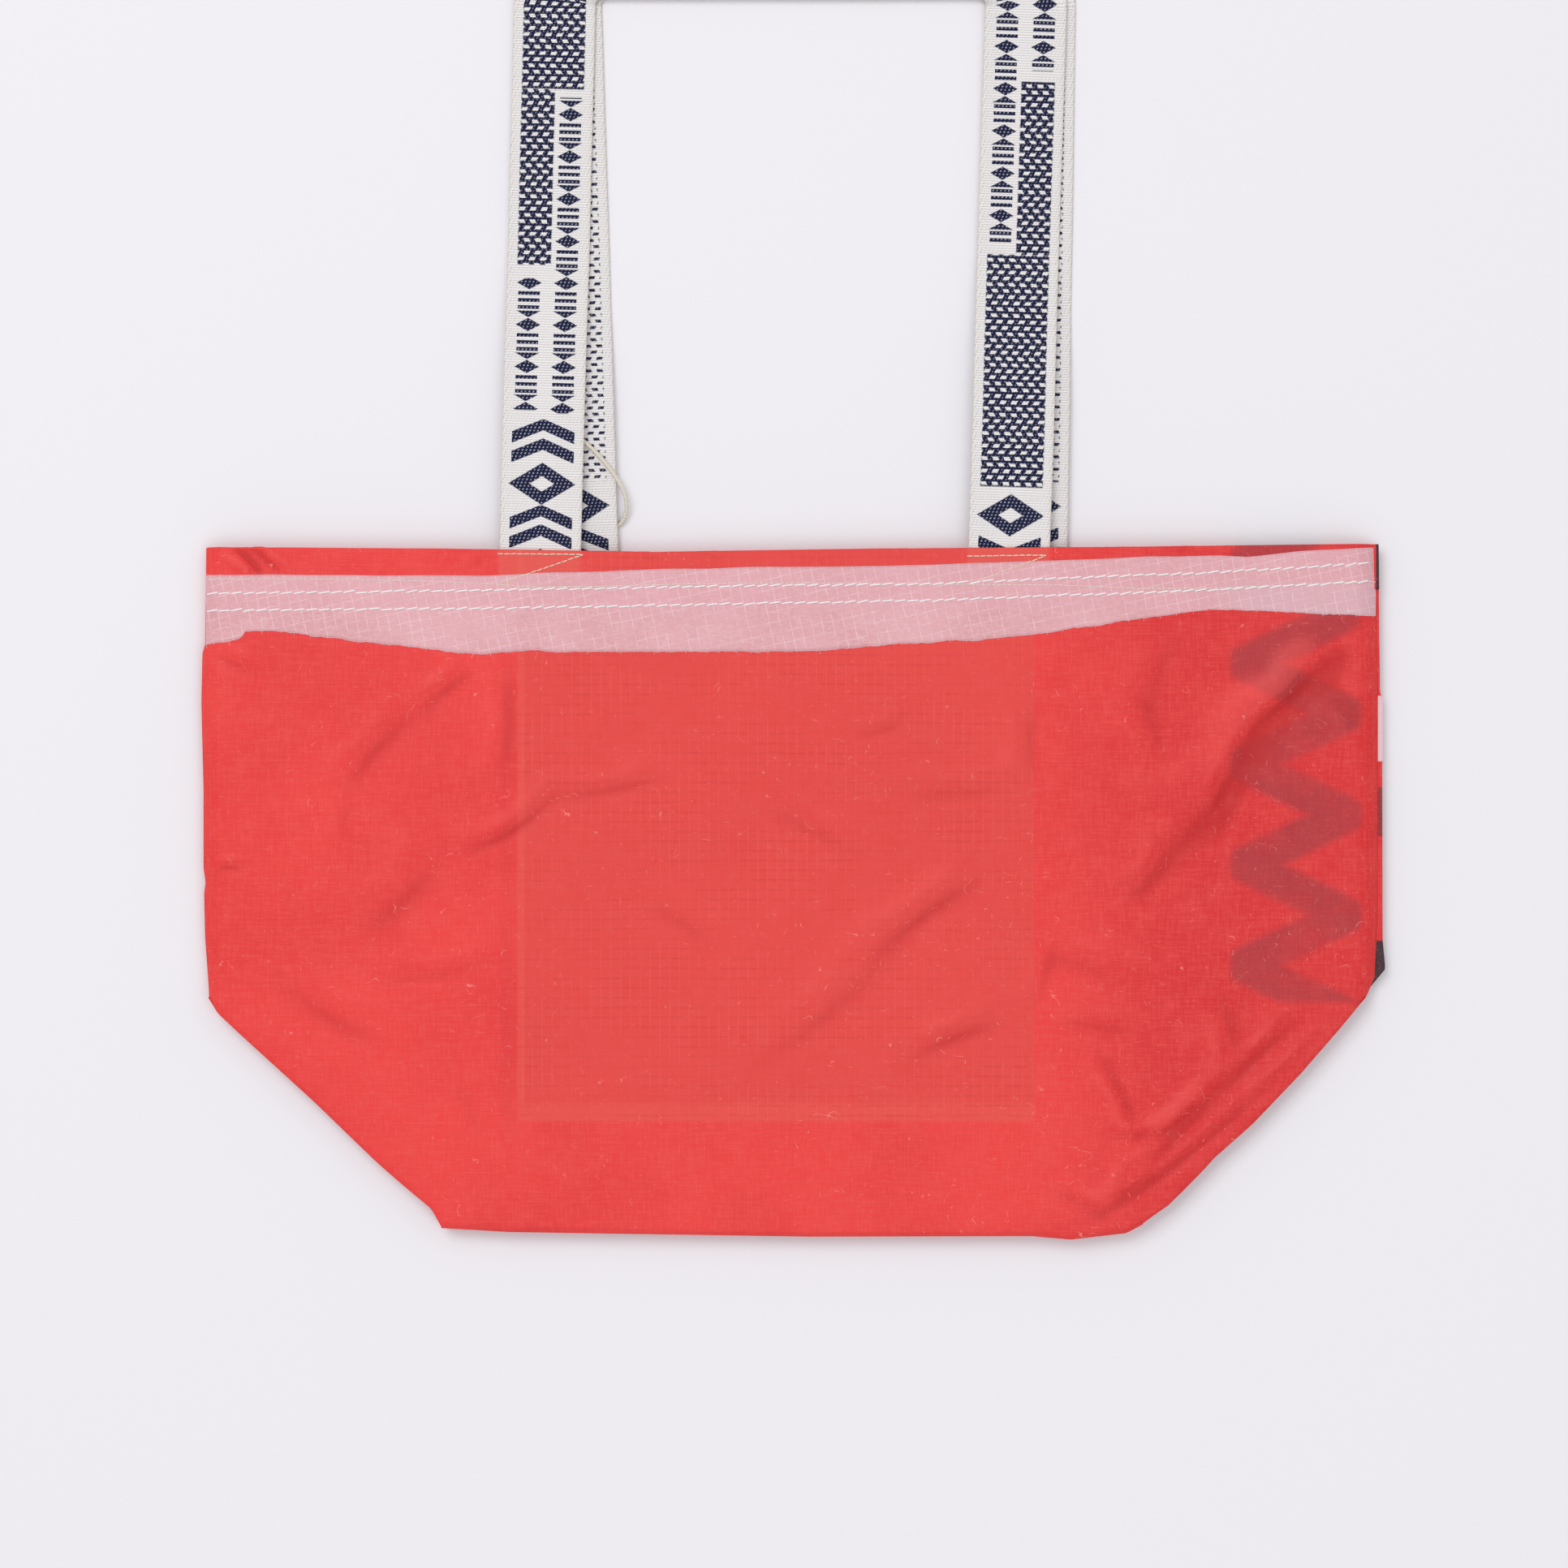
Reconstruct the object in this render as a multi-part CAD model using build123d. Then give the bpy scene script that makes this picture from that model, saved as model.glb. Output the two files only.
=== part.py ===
"""Foldable tote bag, lying flat: a boxed bag of thin cloth, folded along its base and sides.

+X is across the bag, +Y runs up it towards the handles, and +Z is out of the table.
The origin is on the back panel's outer face, at the middle of the body's width and height.
"""

from build123d import *

import math
import os

# Driving dimensions, in millimetres.
BASE_WIDTH = 260.0  # across the flat bottom
BASE_DEPTH = 174.0  # front to back of the opened bag
BODY_HEIGHT = 251.0  # bottom fold to mouth
BOTTOM_Y = -125.0
CLOTH = 0.8  # modelled thickness of a cloth panel with its slack
INNER_GAP = 7.0  # between the back and front panels when flat
HEM_DEPTH = 15.0
HEM_CLOTH = 0.6
TAPE_WIDTH = 30.0
TAPE = 1.4  # thickness of the woven handle tape
TAPE_BEND_RADIUS = 25.0  # centre line, where the tape turns across the top
HANDLE_TOP_Y = 345.0  # centre line of the handles' top run
CORD_DIAMETER = 1.6

# Worked out from those.
HALF_BASE = BASE_WIDTH / 2
HALF_DEPTH = BASE_DEPTH / 2
MOUTH_Y = BOTTOM_Y + BODY_HEIGHT
HEM_Y = MOUTH_Y - HEM_DEPTH
FRONT_Z = CLOTH + INNER_GAP  # inner face of the front panel
FRONT_TOP_Z = FRONT_Z + CLOTH
MIDDLE_Z = FRONT_TOP_Z / 2
FOLD_GAP = 0.15  # each panel stops this far short of a fold
HEM_FOLD_GAP = 1.5  # hems are thick, so they stop further from a side fold
EDGE_GAP = 0.3  # each side panel stops this far short of the side edge
SIDE_EDGE_X = HALF_BASE + HALF_DEPTH - EDGE_GAP

BASE_RISE = 2.2  # the folded base half lies this far above the table
TUCK_RISE = 1.1
TUCK_GAP = 0.3

BAND_CLOTH = 0.3
THREAD = 0.25  # how far a row of stitches stands proud
ZIGZAG_WIDTH = 0.9
LOCKSTITCH_WIDTH = 0.4

POCKET_LAYER = 0.4
POCKET_LEFT_X = -101.0
POCKET_RIGHT_X = 89.0
POCKET_BOTTOM_Y = -84.0
POCKET_TOP_Y = HEM_Y - 0.3
POCKET_INNER_Z = 6.6
POCKET_OUTER_Z = 7.2

BACK_ROW_INSET = 0.8  # from the back hem's inner edge up to its row of stitches

SEAM_WIDTH = 8.0
SEAM_TOP_Y = HEM_Y - 1.0
SEAM_INSET = 1.5

HANDLE_GAP = 0.5  # from the mouth to the free part of the tape
FRONT_TAPE_X = {"left": (-93.0, -87.0), "right": (79.4, 87.0)}  # centre at the mouth, at the top
REAR_TAPE_X = {"left": (-78.7, -86.0), "right": (86.4, 90.0)}
# Height of the tape's middle as it leaves the mouth and comes down to the table: (y, z).
FRONT_TAPE_LINE = [(MOUTH_Y, 6.5), (180.0, 6.5), (235.0, 2.4), (400.0, 2.4)]
REAR_TAPE_LINE = [(MOUTH_Y, 2.1), (136.0, 2.6), (180.0, 2.6), (215.0, 0.7), (400.0, 0.7)]
END_DEPTH = 13.5  # how far the tape ends reach into the hem
END_INSET = 0.5
TALL = 400.0  # more than any piece reaches, for the blocks that cut the handles to shape
END_ROW_INSET = 1.2  # from the mouth down to the row of stitches across a tape end
SLANT_LOW_INSET = 7.0  # from the mouth down to the low end of the slanting row
SLANT_HIGH_INSET = 2.2  # and to its high end

# Lower and upper edges of the band across the front, from the left side to the right.
BAND_LOWER = [(-216.5, 91.5), (-192.0, 96.0), (-130.0, 89.5), (0.0, 89.0), (67.0, 93.0)]
BAND_LOWER += [(130.0, 101.3), (157.0, 104.3), (216.5, 102.2)]
BAND_UPPER = [(-216.5, 117.1), (-130.0, 116.9), (-20.0, 119.9), (40.0, 120.3), (130.0, 123.8)]
BAND_UPPER += [(160.0, 124.0), (216.5, 125.8)]
ZIGZAG_UPPER = [(-216.0, 110.2), (-130.0, 111.2), (30.0, 113.6), (130.0, 117.2), (216.0, 121.9)]
ZIGZAG_LOWER = [(-216.0, 103.9), (-130.0, 104.7), (50.0, 107.7), (130.0, 110.8), (216.0, 115.1)]
HEM_ROW = [(-216.0, 115.4), (-167.0, 115.4), (-94.0, 112.5), (0.0, 114.0), (130.0, 112.2)]
HEM_ROW += [(170.0, 112.6), (216.0, 113.4)]

# The tag cord's route round the rear tape's left leg: over it, round its edge and back under it.
CORD_ROUTE = [
    (-82.5, 170.5, 4.35),
    (-76.8, 166.5, 4.35),
    (-71.0, 161.0, 4.4),
    (-65.6, 154.2, 4.4),
    (-61.9, 147.6, 3.9),
    (-61.1, 141.6, 2.5),
    (-63.2, 136.6, 1.0),
    (-68.6, 133.6, 0.85),
    (-75.6, 133.2, 0.85),
    (-83.0, 135.0, 0.85),
    (-90.0, 138.6, 0.85),
    (-95.8, 143.4, 1.05),
    (-98.2, 149.6, 2.6),
    (-96.6, 156.0, 4.0),
    (-92.0, 161.6, 4.4),
    (-86.4, 166.6, 4.35),
]
KNOT_SIZE = (5.0, 4.4, 2.1)
KNOT_CENTRE = (-83.8, 169.4, 4.5)
KNOT_ROUNDING = 0.84
ARC_SHARE = 0.45  # of the shorter run beside a corner of the cord's route, taken up by its arc

PARTS_FOLDER = "parts"


def write(name, shape):
    """Write one named piece as a STEP file."""
    export_step(shape, os.path.join(PARTS_FOLDER, name + ".step"))


def slab(outline, low_z, thickness):
    """A flat plate: the closed outline in X and Y, raised from low_z by thickness."""
    face = make_face(Polyline(*outline, close=True))
    return Pos(0, 0, low_z) * extrude(face, thickness, dir=(0, 0, 1))


def plate(low_x, high_x, low_y, high_y, low_z, thickness):
    """A rectangular plate from its limits."""
    outline = [(low_x, low_y), (high_x, low_y), (high_x, high_y), (low_x, high_y)]
    return slab(outline, low_z, thickness)


def mirrored_z(low_z, thickness):
    """The lowest z of a plate mirrored from the back of the bag to the front."""
    return FRONT_TOP_Z - low_z - thickness


def height_at(line, x):
    """The y of a line of points at x."""
    for (x0, y0), (x1, y1) in zip(line, line[1:]):
        if x0 <= x <= x1:
            return y0 + (y1 - y0) * (x - x0) / (x1 - x0)
    raise ValueError(f"{x} is outside the line")


def clipped(line, low_x, high_x):
    """The stretch of a line of points between two values of x."""
    inner = [p for p in line if low_x < p[0] < high_x]
    return [(low_x, height_at(line, low_x)), *inner, (high_x, height_at(line, high_x))]


def thread_row(line, width, low_z):
    """One row of stitches, as a low ribbon along a line of points."""
    half = width / 2
    above = [(x, y + half) for x, y in line]
    below = [(x, y - half) for x, y in line]
    return slab(below + above[::-1], low_z, THREAD)


def spans():
    """The x limits of the left, middle and right thirds, short of the folds between them."""
    return {
        "_left": (-SIDE_EDGE_X, -HALF_BASE - HEM_FOLD_GAP),
        "": (-HALF_BASE + HEM_FOLD_GAP, HALF_BASE - HEM_FOLD_GAP),
        "_right": (HALF_BASE + HEM_FOLD_GAP, SIDE_EDGE_X),
    }


def body_panels():
    """The middle panels, and the side halves whose lower corners are cut off by the folds."""
    inner = HALF_BASE - FOLD_GAP
    outer = HALF_BASE + FOLD_GAP
    corner_y = BOTTOM_Y + HALF_DEPTH
    for side, low_z in (("back", 0.0), ("front", FRONT_Z)):
        write(f"{side}_panel", plate(-inner, inner, BOTTOM_Y + FOLD_GAP, MOUTH_Y, low_z, CLOTH))
        for name, sign in (("left", -1), ("right", 1)):
            outline = [
                (sign * outer, MOUTH_Y),
                (sign * SIDE_EDGE_X, MOUTH_Y),
                (sign * SIDE_EDGE_X, corner_y),
                (sign * outer, BOTTOM_Y + 2 * FOLD_GAP),
            ]
            write(f"{side}_{name}_side", slab(outline, low_z, CLOTH))


def corner_tucks():
    """The four corner triangles, folded in along the slanting bottom edges."""
    near = HALF_BASE + TUCK_GAP
    far = SIDE_EDGE_X - TUCK_GAP
    top_y = BOTTOM_Y + HALF_DEPTH
    for side, low_z in (("back", TUCK_RISE), ("front", mirrored_z(TUCK_RISE, CLOTH))):
        for name, sign in (("left", -1), ("right", 1)):
            outline = [
                (sign * near, BOTTOM_Y + 3 * TUCK_GAP),
                (sign * near, top_y),
                (sign * far, top_y),
            ]
            write(f"{side}_{name}_tuck", slab(outline, low_z, CLOTH))


def base_halves():
    """The two halves of the base, folded up inside the bag."""
    half_width = HALF_BASE - 2 * FOLD_GAP
    low_y = BOTTOM_Y + FOLD_GAP
    high_y = BOTTOM_Y + HALF_DEPTH - FOLD_GAP
    for name, low_z in (("base_rear", BASE_RISE), ("base_front", mirrored_z(BASE_RISE, CLOTH))):
        write(f"{name}_panel", plate(-half_width, half_width, low_y, high_y, low_z, CLOTH))


def hems():
    """The turned-in hem round the mouth, in six lengths, with its row of stitches."""
    for part, (low_x, high_x) in spans().items():
        write(f"back{part}_hem", plate(low_x, high_x, HEM_Y, MOUTH_Y, CLOTH, HEM_CLOTH))
        back_y = HEM_Y + BACK_ROW_INSET
        straight = [(low_x, back_y), (high_x, back_y)]
        back_row = thread_row(straight, LOCKSTITCH_WIDTH, CLOTH + HEM_CLOTH)
        write(f"back{part}_hem_stitching", back_row)
        hem = plate(low_x, high_x, HEM_Y, MOUTH_Y, FRONT_Z - HEM_CLOTH, HEM_CLOTH)
        write(f"front{part}_hem", hem)
        row = clipped(HEM_ROW, max(low_x, HEM_ROW[0][0]), min(high_x, HEM_ROW[-1][0]))
        front_row = thread_row(row, LOCKSTITCH_WIDTH, FRONT_TOP_Z + BAND_CLOTH + THREAD)
        write(f"front{part}_hem_stitching", front_row)


def bands():
    """The pale band across the front, in three lengths, with its two rows of zigzag stitches."""
    for part, (low_x, high_x) in spans().items():
        low_x = max(low_x, BAND_LOWER[0][0])
        high_x = min(high_x, BAND_LOWER[-1][0])
        lower = clipped(BAND_LOWER, low_x, high_x)
        upper = clipped(BAND_UPPER, low_x, high_x)
        write(f"front{part}_band", slab(lower + upper[::-1], FRONT_TOP_Z, BAND_CLOTH))
        rows = []
        for line in (ZIGZAG_UPPER, ZIGZAG_LOWER):
            stretch = clipped(line, max(low_x, line[0][0]), min(high_x, line[-1][0]))
            rows.append(thread_row(stretch, ZIGZAG_WIDTH, FRONT_TOP_Z + BAND_CLOTH))
        write(f"front{part}_band_stitching", Compound(children=rows))


def side_seams():
    """The seam allowances inside the two side edges."""
    low_y = BOTTOM_Y + HALF_DEPTH
    for name, sign in (("left", -1), ("right", 1)):
        outer_x = sign * (SIDE_EDGE_X - SEAM_INSET)
        inner_x = outer_x - sign * SEAM_WIDTH
        low_x, high_x = sorted((outer_x, inner_x))
        seam = plate(low_x, high_x, low_y, SEAM_TOP_Y, MIDDLE_Z - CLOTH / 2, CLOTH)
        write(f"{name}_side_seam", seam)


def pocket():
    """The flat inner pocket, two layers of cloth hanging from the front hem."""
    for name, low_z in (("inner", POCKET_INNER_Z), ("outer", POCKET_OUTER_Z)):
        layer = plate(
            POCKET_LEFT_X, POCKET_RIGHT_X, POCKET_BOTTOM_Y, POCKET_TOP_Y, low_z, POCKET_LAYER
        )
        write(f"pocket_{name}_layer", layer)


def handle(centres, line):
    """A loop of tape: a bent band in plan, cut from a slab that follows the tape's height."""
    start_y = MOUTH_Y + HANDLE_GAP
    path = FilletPolyline(
        (centres["left"][0], start_y),
        (centres["left"][1], HANDLE_TOP_Y),
        (centres["right"][1], HANDLE_TOP_Y),
        (centres["right"][0], start_y),
        radius=TAPE_BEND_RADIUS,
    )
    tall = extrude(trace(path, TAPE_WIDTH), TALL, dir=(0, 0, 1))
    half = TAPE / 2
    under = [(y, z - half) for y, z in line]
    over = [(y, z + half) for y, z in line]
    profile = make_face(Plane.YZ * Polyline(*under, *over[::-1], close=True))
    bent = extrude(Pos(-TALL / 2, 0, 0) * profile, TALL, dir=(1, 0, 0))
    past_mouth = Pos(0, start_y + TALL / 2, 0) * Box(TALL, TALL, TALL)
    return tall & bent & past_mouth


def handle_ends(centres, low_z):
    """The two ends of a handle's tape, sewn in behind the hem."""
    half = TAPE_WIDTH / 2
    low_y = MOUTH_Y - END_DEPTH
    high_y = MOUTH_Y - END_INSET
    ends = []
    for name in ("left", "right"):
        x = centres[name][0]
        ends.append(plate(x - half, x + half, low_y, high_y, low_z, TAPE))
    return Compound(children=ends)


def handle_end_stitching(centres, low_z):
    """The stitching that holds the tape ends: one row along the mouth and one slanting down."""
    half = TAPE_WIDTH / 2
    row_y = MOUTH_Y - END_ROW_INSET
    rows = []
    for name in ("left", "right"):
        x = centres[name][0]
        rows.append(thread_row([(x - half, row_y), (x + half, row_y)], LOCKSTITCH_WIDTH, low_z))
        slant = [(x - half, MOUTH_Y - SLANT_LOW_INSET), (x + half, MOUTH_Y - SLANT_HIGH_INSET)]
        rows.append(thread_row(slant, LOCKSTITCH_WIDTH, low_z))
    return Compound(children=rows)


def handles():
    """Both handles, each with its sewn ends and their stitching."""
    write("front_handle", handle(FRONT_TAPE_X, FRONT_TAPE_LINE))
    write("rear_handle", handle(REAR_TAPE_X, REAR_TAPE_LINE))
    front_end_z = FRONT_Z - HEM_CLOTH - TAPE
    rear_end_z = CLOTH + HEM_CLOTH
    write("front_handle_ends", handle_ends(FRONT_TAPE_X, front_end_z))
    write("rear_handle_ends", handle_ends(REAR_TAPE_X, rear_end_z))
    front_row_z = FRONT_TOP_Z + BAND_CLOTH
    write("front_handle_stitching", handle_end_stitching(FRONT_TAPE_X, front_row_z))
    write("rear_handle_stitching", handle_end_stitching(REAR_TAPE_X, rear_end_z + TAPE))


def corner_radii(points):
    """The radius of the arc at each corner of a route."""
    radii = []
    for before, here, after in zip(points, points[1:], points[2:]):
        first = Vector(*here) - Vector(*before)
        second = Vector(*after) - Vector(*here)
        half_turn = math.radians(first.get_angle(second)) / 2
        radii.append(ARC_SHARE * min(first.length, second.length) / math.tan(half_turn))
    return radii


def tag_cord():
    """The thin loop of cord round the rear tape, and its knot."""
    radii = corner_radii(CORD_ROUTE)
    path = FilletPolyline(*CORD_ROUTE, radius=radii)
    section = Plane(origin=path @ 0, z_dir=path % 0) * Circle(CORD_DIAMETER / 2)
    cord = sweep(section, path=path)
    expected = section.area * path.length
    print("cord radii", [round(r, 1) for r in radii])
    print("cord length", round(path.length, 1), "volume share", round(cord.volume / expected, 4))
    write("tag_cord", cord)
    knot = Pos(*KNOT_CENTRE) * Box(*KNOT_SIZE)
    write("tag_cord_knot", fillet(knot.edges(), KNOT_ROUNDING))


def main():
    os.makedirs(PARTS_FOLDER, exist_ok=True)
    body_panels()
    corner_tucks()
    base_halves()
    hems()
    bands()
    side_seams()
    pocket()
    handles()
    tag_cord()


main()
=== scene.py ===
"""Looks of the foldable tote bag: red ripstop, a pale band, woven tape handles and a tag cord.

Metres throughout. +X is across the bag, +Y runs up it to the handles, and +Z is out of the table.
"""

import math
from functools import partialmethod

import bpy
import numpy as np
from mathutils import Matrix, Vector, noise
from mathutils.bvhtree import BVHTree


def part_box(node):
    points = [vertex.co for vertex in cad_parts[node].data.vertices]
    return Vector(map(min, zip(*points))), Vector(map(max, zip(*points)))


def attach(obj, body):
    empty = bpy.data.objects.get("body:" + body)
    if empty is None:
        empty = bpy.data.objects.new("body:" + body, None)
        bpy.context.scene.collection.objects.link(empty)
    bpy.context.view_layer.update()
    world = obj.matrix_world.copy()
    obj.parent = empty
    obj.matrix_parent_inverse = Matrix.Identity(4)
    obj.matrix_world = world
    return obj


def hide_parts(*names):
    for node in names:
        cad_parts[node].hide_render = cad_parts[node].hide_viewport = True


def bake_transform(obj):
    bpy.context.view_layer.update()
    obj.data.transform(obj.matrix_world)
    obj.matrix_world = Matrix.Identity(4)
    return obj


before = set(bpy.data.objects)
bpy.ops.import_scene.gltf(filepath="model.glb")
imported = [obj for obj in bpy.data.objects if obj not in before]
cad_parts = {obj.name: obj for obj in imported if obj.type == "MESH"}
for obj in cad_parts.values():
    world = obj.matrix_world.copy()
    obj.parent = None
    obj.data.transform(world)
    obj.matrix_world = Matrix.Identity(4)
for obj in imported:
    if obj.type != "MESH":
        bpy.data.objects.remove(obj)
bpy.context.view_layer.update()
scene = bpy.context.scene

# Driving dimensions, as the frame has them.
PANEL_LOW, PANEL_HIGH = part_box("back_panel")
FRONT_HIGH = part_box("front_panel")[1]
FOLD_X = round(PANEL_HIGH.x, 3)
BOTTOM_Y = round(PANEL_LOW.y, 3)
MOUTH_Y = PANEL_HIGH.y
SIDE_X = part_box("front_right_side")[1].x
HALF_DEPTH = SIDE_X - FOLD_X
STACK = FRONT_HIGH.z  # from the table to the front panel's outer face
MIDDLE_Z = STACK / 2
HEM_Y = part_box("front_hem")[0].y
CORNER_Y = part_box("front_left_side")[0].y + HALF_DEPTH

CLOTH = 0.00022  # thickness of the ripstop
CLOTH_Z = STACK - 0.0003  # height of the front cloth where it lies flat
SEAM_Z = MIDDLE_Z + 0.0001  # where the two side edges meet
SLANT_Z = STACK - 0.00095  # the slanting fold's height, which is its hinge's
BASE_Z = STACK - 0.0013  # the bottom fold's height
BACK_Z = 0.00062  # height of the back cloth where it lies flat
BACK_SEAM_Z = MIDDLE_Z - 0.0002
BACK_SLANT_Z = 0.00095
BACK_BASE_Z = 0.0013
HEM_GAP = 0.0009  # between the cloth and its turned-in hem
BAND_LIFT = 0.00018  # of the band above the front cloth
BAND_THICKNESS = 0.00010
BAND_GRID_ANGLE = 12  # degrees, of the grid woven into it
HANDLE_LIFT = CLOTH / 2 + 0.0001
GRID = 0.0015  # size of the mesh's cells on cloth
FINE_GRID = 0.0006  # their size near a sheet's edges
RIPSTOP_PITCH = 0.0036  # between the ripstop's thicker threads
SLANT_ROLL = 0.0024  # how far in the cloth rolls over at the slanting edges
BOTTOM_ROLL = 0.0022  # the same at the bottom edge
SLANT_SHARE = 0.72  # of a sideways inset that lies square to a slanting edge

# The outline: x of the side edges going up, y of the bottom edge and of the mouth going across.
LEFT_EDGE = [
    (-0.125, -0.1290), (-0.118, -0.1325), (-0.0764, -0.1755), (-0.0440, -0.2110),
    (-0.0385, -0.2146), (-0.0165, -0.2162), (0.0000, -0.2166), (0.0040, -0.2160),
    (0.0090, -0.2168), (0.0378, -0.2168), (0.0705, -0.2176), (0.0885, -0.2172),
    (0.0915, -0.2162), (0.126, -0.2158),
]
RIGHT_EDGE = [
    (-0.125, 0.1290), (-0.118, 0.1380), (-0.0971, 0.1549), (-0.0848, 0.1688), (-0.0662, 0.1866),
    (-0.0372, 0.2118), (-0.0310, 0.2146), (-0.0180, 0.2152), (0.0000, 0.2157), (0.0727, 0.2157),
    (0.100, 0.2152), (0.126, 0.2145),
]
OPEN_WIDTH = 2 * SIDE_X - 0.0001  # of both halves of a side, less the clearance between them
BACK_LEFT_EDGE = [(y, max(x + 0.0001, -x - OPEN_WIDTH)) for y, x in LEFT_EDGE]
BACK_RIGHT_EDGE = [
    (-0.125, 0.1286), (-0.118, 0.1376), (-0.0971, 0.1545), (-0.0848, 0.1684), (-0.0372, 0.2110),
    (-0.0335, 0.2140), (-0.0280, 0.2186), (-0.0170, 0.2176), (0.0480, 0.2174), (0.0486, 0.2176),
    (0.0727, 0.2176), (0.0733, 0.2166), (0.126, 0.2160),
]
BOTTOM_EDGE = [
    (-0.128, -0.1226), (-0.104, -0.1240), (-0.066, -0.1246), (0.007, -0.1257), (0.088, -0.1255),
    (0.1025, -0.1268), (0.1229, -0.1244), (0.1290, -0.1212),
]
MOUTH_EDGE = [
    (-0.215, 0.1268), (-0.130, 0.1262), (-0.051, 0.1250), (0.030, 0.1262), (0.119, 0.1268),
    (0.215, 0.1280),
]

# Valleys in the front cloth: start, end, how far the middle bows out, half width, depth.
# Each has a ridge on the side towards the light.
# Their valleys are also darkened as painted shade, and their ridges lit as painted highlight.
FRONT_VALLEYS = [
    ((0.2040, 0.0900), (0.1640, 0.0520), 0.001, 0.0048, 0.0030),
    ((0.1780, 0.0640), (0.1370, 0.0120), 0.003, 0.0046, 0.0022),
    ((0.1640, 0.0500), (0.1270, 0.0270), 0.002, 0.0050, 0.0012),
    ((0.1620, 0.0420), (0.1540, 0.0180), 0.002, 0.0030, 0.0008),
    ((0.1420, 0.0160), (0.1220, -0.0040), 0.001, 0.0038, 0.0012),
    ((0.2110, 0.0620), (0.1990, 0.0760), 0.001, 0.0026, 0.0008),
    ((0.1450, 0.0980), (0.1300, 0.0600), -0.003, 0.0050, 0.0007),
    ((0.1260, 0.0760), (0.1360, 0.0440), 0.002, 0.0040, 0.0007),
    ((0.0910, 0.0720), (0.0900, 0.0400), -0.003, 0.0034, 0.0007),
    ((0.0720, 0.0060), (0.0300, -0.0240), -0.002, 0.0040, 0.0011),
    ((0.0400, -0.0170), (-0.0140, -0.0640), 0.003, 0.0052, 0.0007),
    ((0.0900, -0.0230), (0.1240, -0.0350), 0.002, 0.0042, 0.0007),
    ((0.0780, -0.0480), (0.0430, -0.0620), -0.002, 0.0032, 0.0011),
    ((0.0950, -0.0470), (0.1280, -0.0530), 0.001, 0.0030, 0.0008),
    ((0.1110, -0.0560), (0.1290, -0.0920), 0.001, 0.0020, 0.0013),
    ((0.1150, -0.0880), (0.1390, -0.0870), -0.002, 0.0018, 0.0010),
    ((0.1240, -0.0980), (0.1190, -0.1120), 0.001, 0.0022, 0.0007),
    ((0.1560, -0.0360), (0.1630, -0.0640), 0.002, 0.0032, 0.0010),
    ((0.1640, -0.0600), (0.1160, -0.1170), 0.002, 0.0030, 0.0012),
    ((0.2080, -0.0440), (0.1560, -0.0880), 0.000, 0.0024, 0.0010),
    ((0.1317, -0.0920), (0.1540, -0.0780), 0.001, 0.0024, 0.0014),
    ((0.1540, -0.0780), (0.1890, -0.0440), 0.001, 0.0024, 0.0013),
    ((0.1095, -0.1205), (0.1692, -0.0767), -0.002, 0.0020, 0.0013),
    ((0.0940, -0.1090), (0.1160, -0.1200), 0.001, 0.0020, 0.0009),
    ((0.0980, -0.0180), (0.0900, -0.0440), -0.001, 0.0028, 0.0007),
    ((0.0430, 0.0640), (0.0210, 0.0570), 0.001, 0.0022, 0.0007),
    ((0.0850, 0.0410), (0.0370, 0.0360), 0.002, 0.0034, 0.0006),
    ((0.0260, 0.0130), (-0.0120, 0.0310), -0.001, 0.0036, 0.0006),
    ((-0.1230, 0.0140), (-0.0860, 0.0370), -0.003, 0.0026, 0.0012),
    ((-0.0900, 0.0350), (-0.0440, 0.0430), -0.001, 0.0026, 0.0009),
    ((-0.0560, -0.0030), (-0.0270, -0.0230), 0.002, 0.0036, 0.0006),
    ((-0.1160, 0.0820), (-0.1360, 0.0660), -0.001, 0.0026, 0.0010),
    ((-0.1340, 0.0680), (-0.1660, 0.0340), -0.003, 0.0040, 0.0009),
    ((-0.1050, 0.0840), (-0.1070, 0.0380), 0.002, 0.0030, 0.0009),
    ((-0.1270, 0.0140), (-0.1590, -0.0170), 0.001, 0.0060, 0.0009),
    ((-0.1900, -0.0300), (-0.1480, -0.0560), -0.003, 0.0050, 0.0008),
    ((-0.1040, -0.0240), (-0.1600, -0.0330), 0.002, 0.0030, 0.0006),
    ((-0.1260, -0.0680), (-0.1140, -0.0900), 0.001, 0.0040, 0.0005),
    ((-0.1610, 0.0330), (-0.1640, 0.0180), -0.002, 0.0020, 0.0006),
    ((-0.2000, 0.0080), (-0.2140, 0.0070), -0.002, 0.0013, 0.0010),
    ((-0.2120, 0.0050), (-0.2160, -0.0010), -0.001, 0.0012, 0.0008),
    ((-0.2130, 0.0870), (-0.1960, 0.0790), 0.001, 0.0020, 0.0008),
    ((-0.2060, 0.1280), (-0.1940, 0.1150), 0.001, 0.0015, 0.0024),
    ((-0.2010, 0.1280), (-0.1870, 0.1160), 0.001, 0.0013, 0.0016),
    ((-0.0560, 0.1250), (-0.0480, 0.1205), 0.000, 0.0010, 0.0005),
    ((-0.0330, 0.1250), (-0.0250, 0.1215), 0.000, 0.0012, 0.0004),
    ((0.0380, 0.1250), (0.0470, 0.1215), 0.000, 0.0013, 0.0004),
    ((-0.1120, 0.1250), (-0.1180, 0.1180), 0.000, 0.0013, 0.0005),
]
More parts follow.
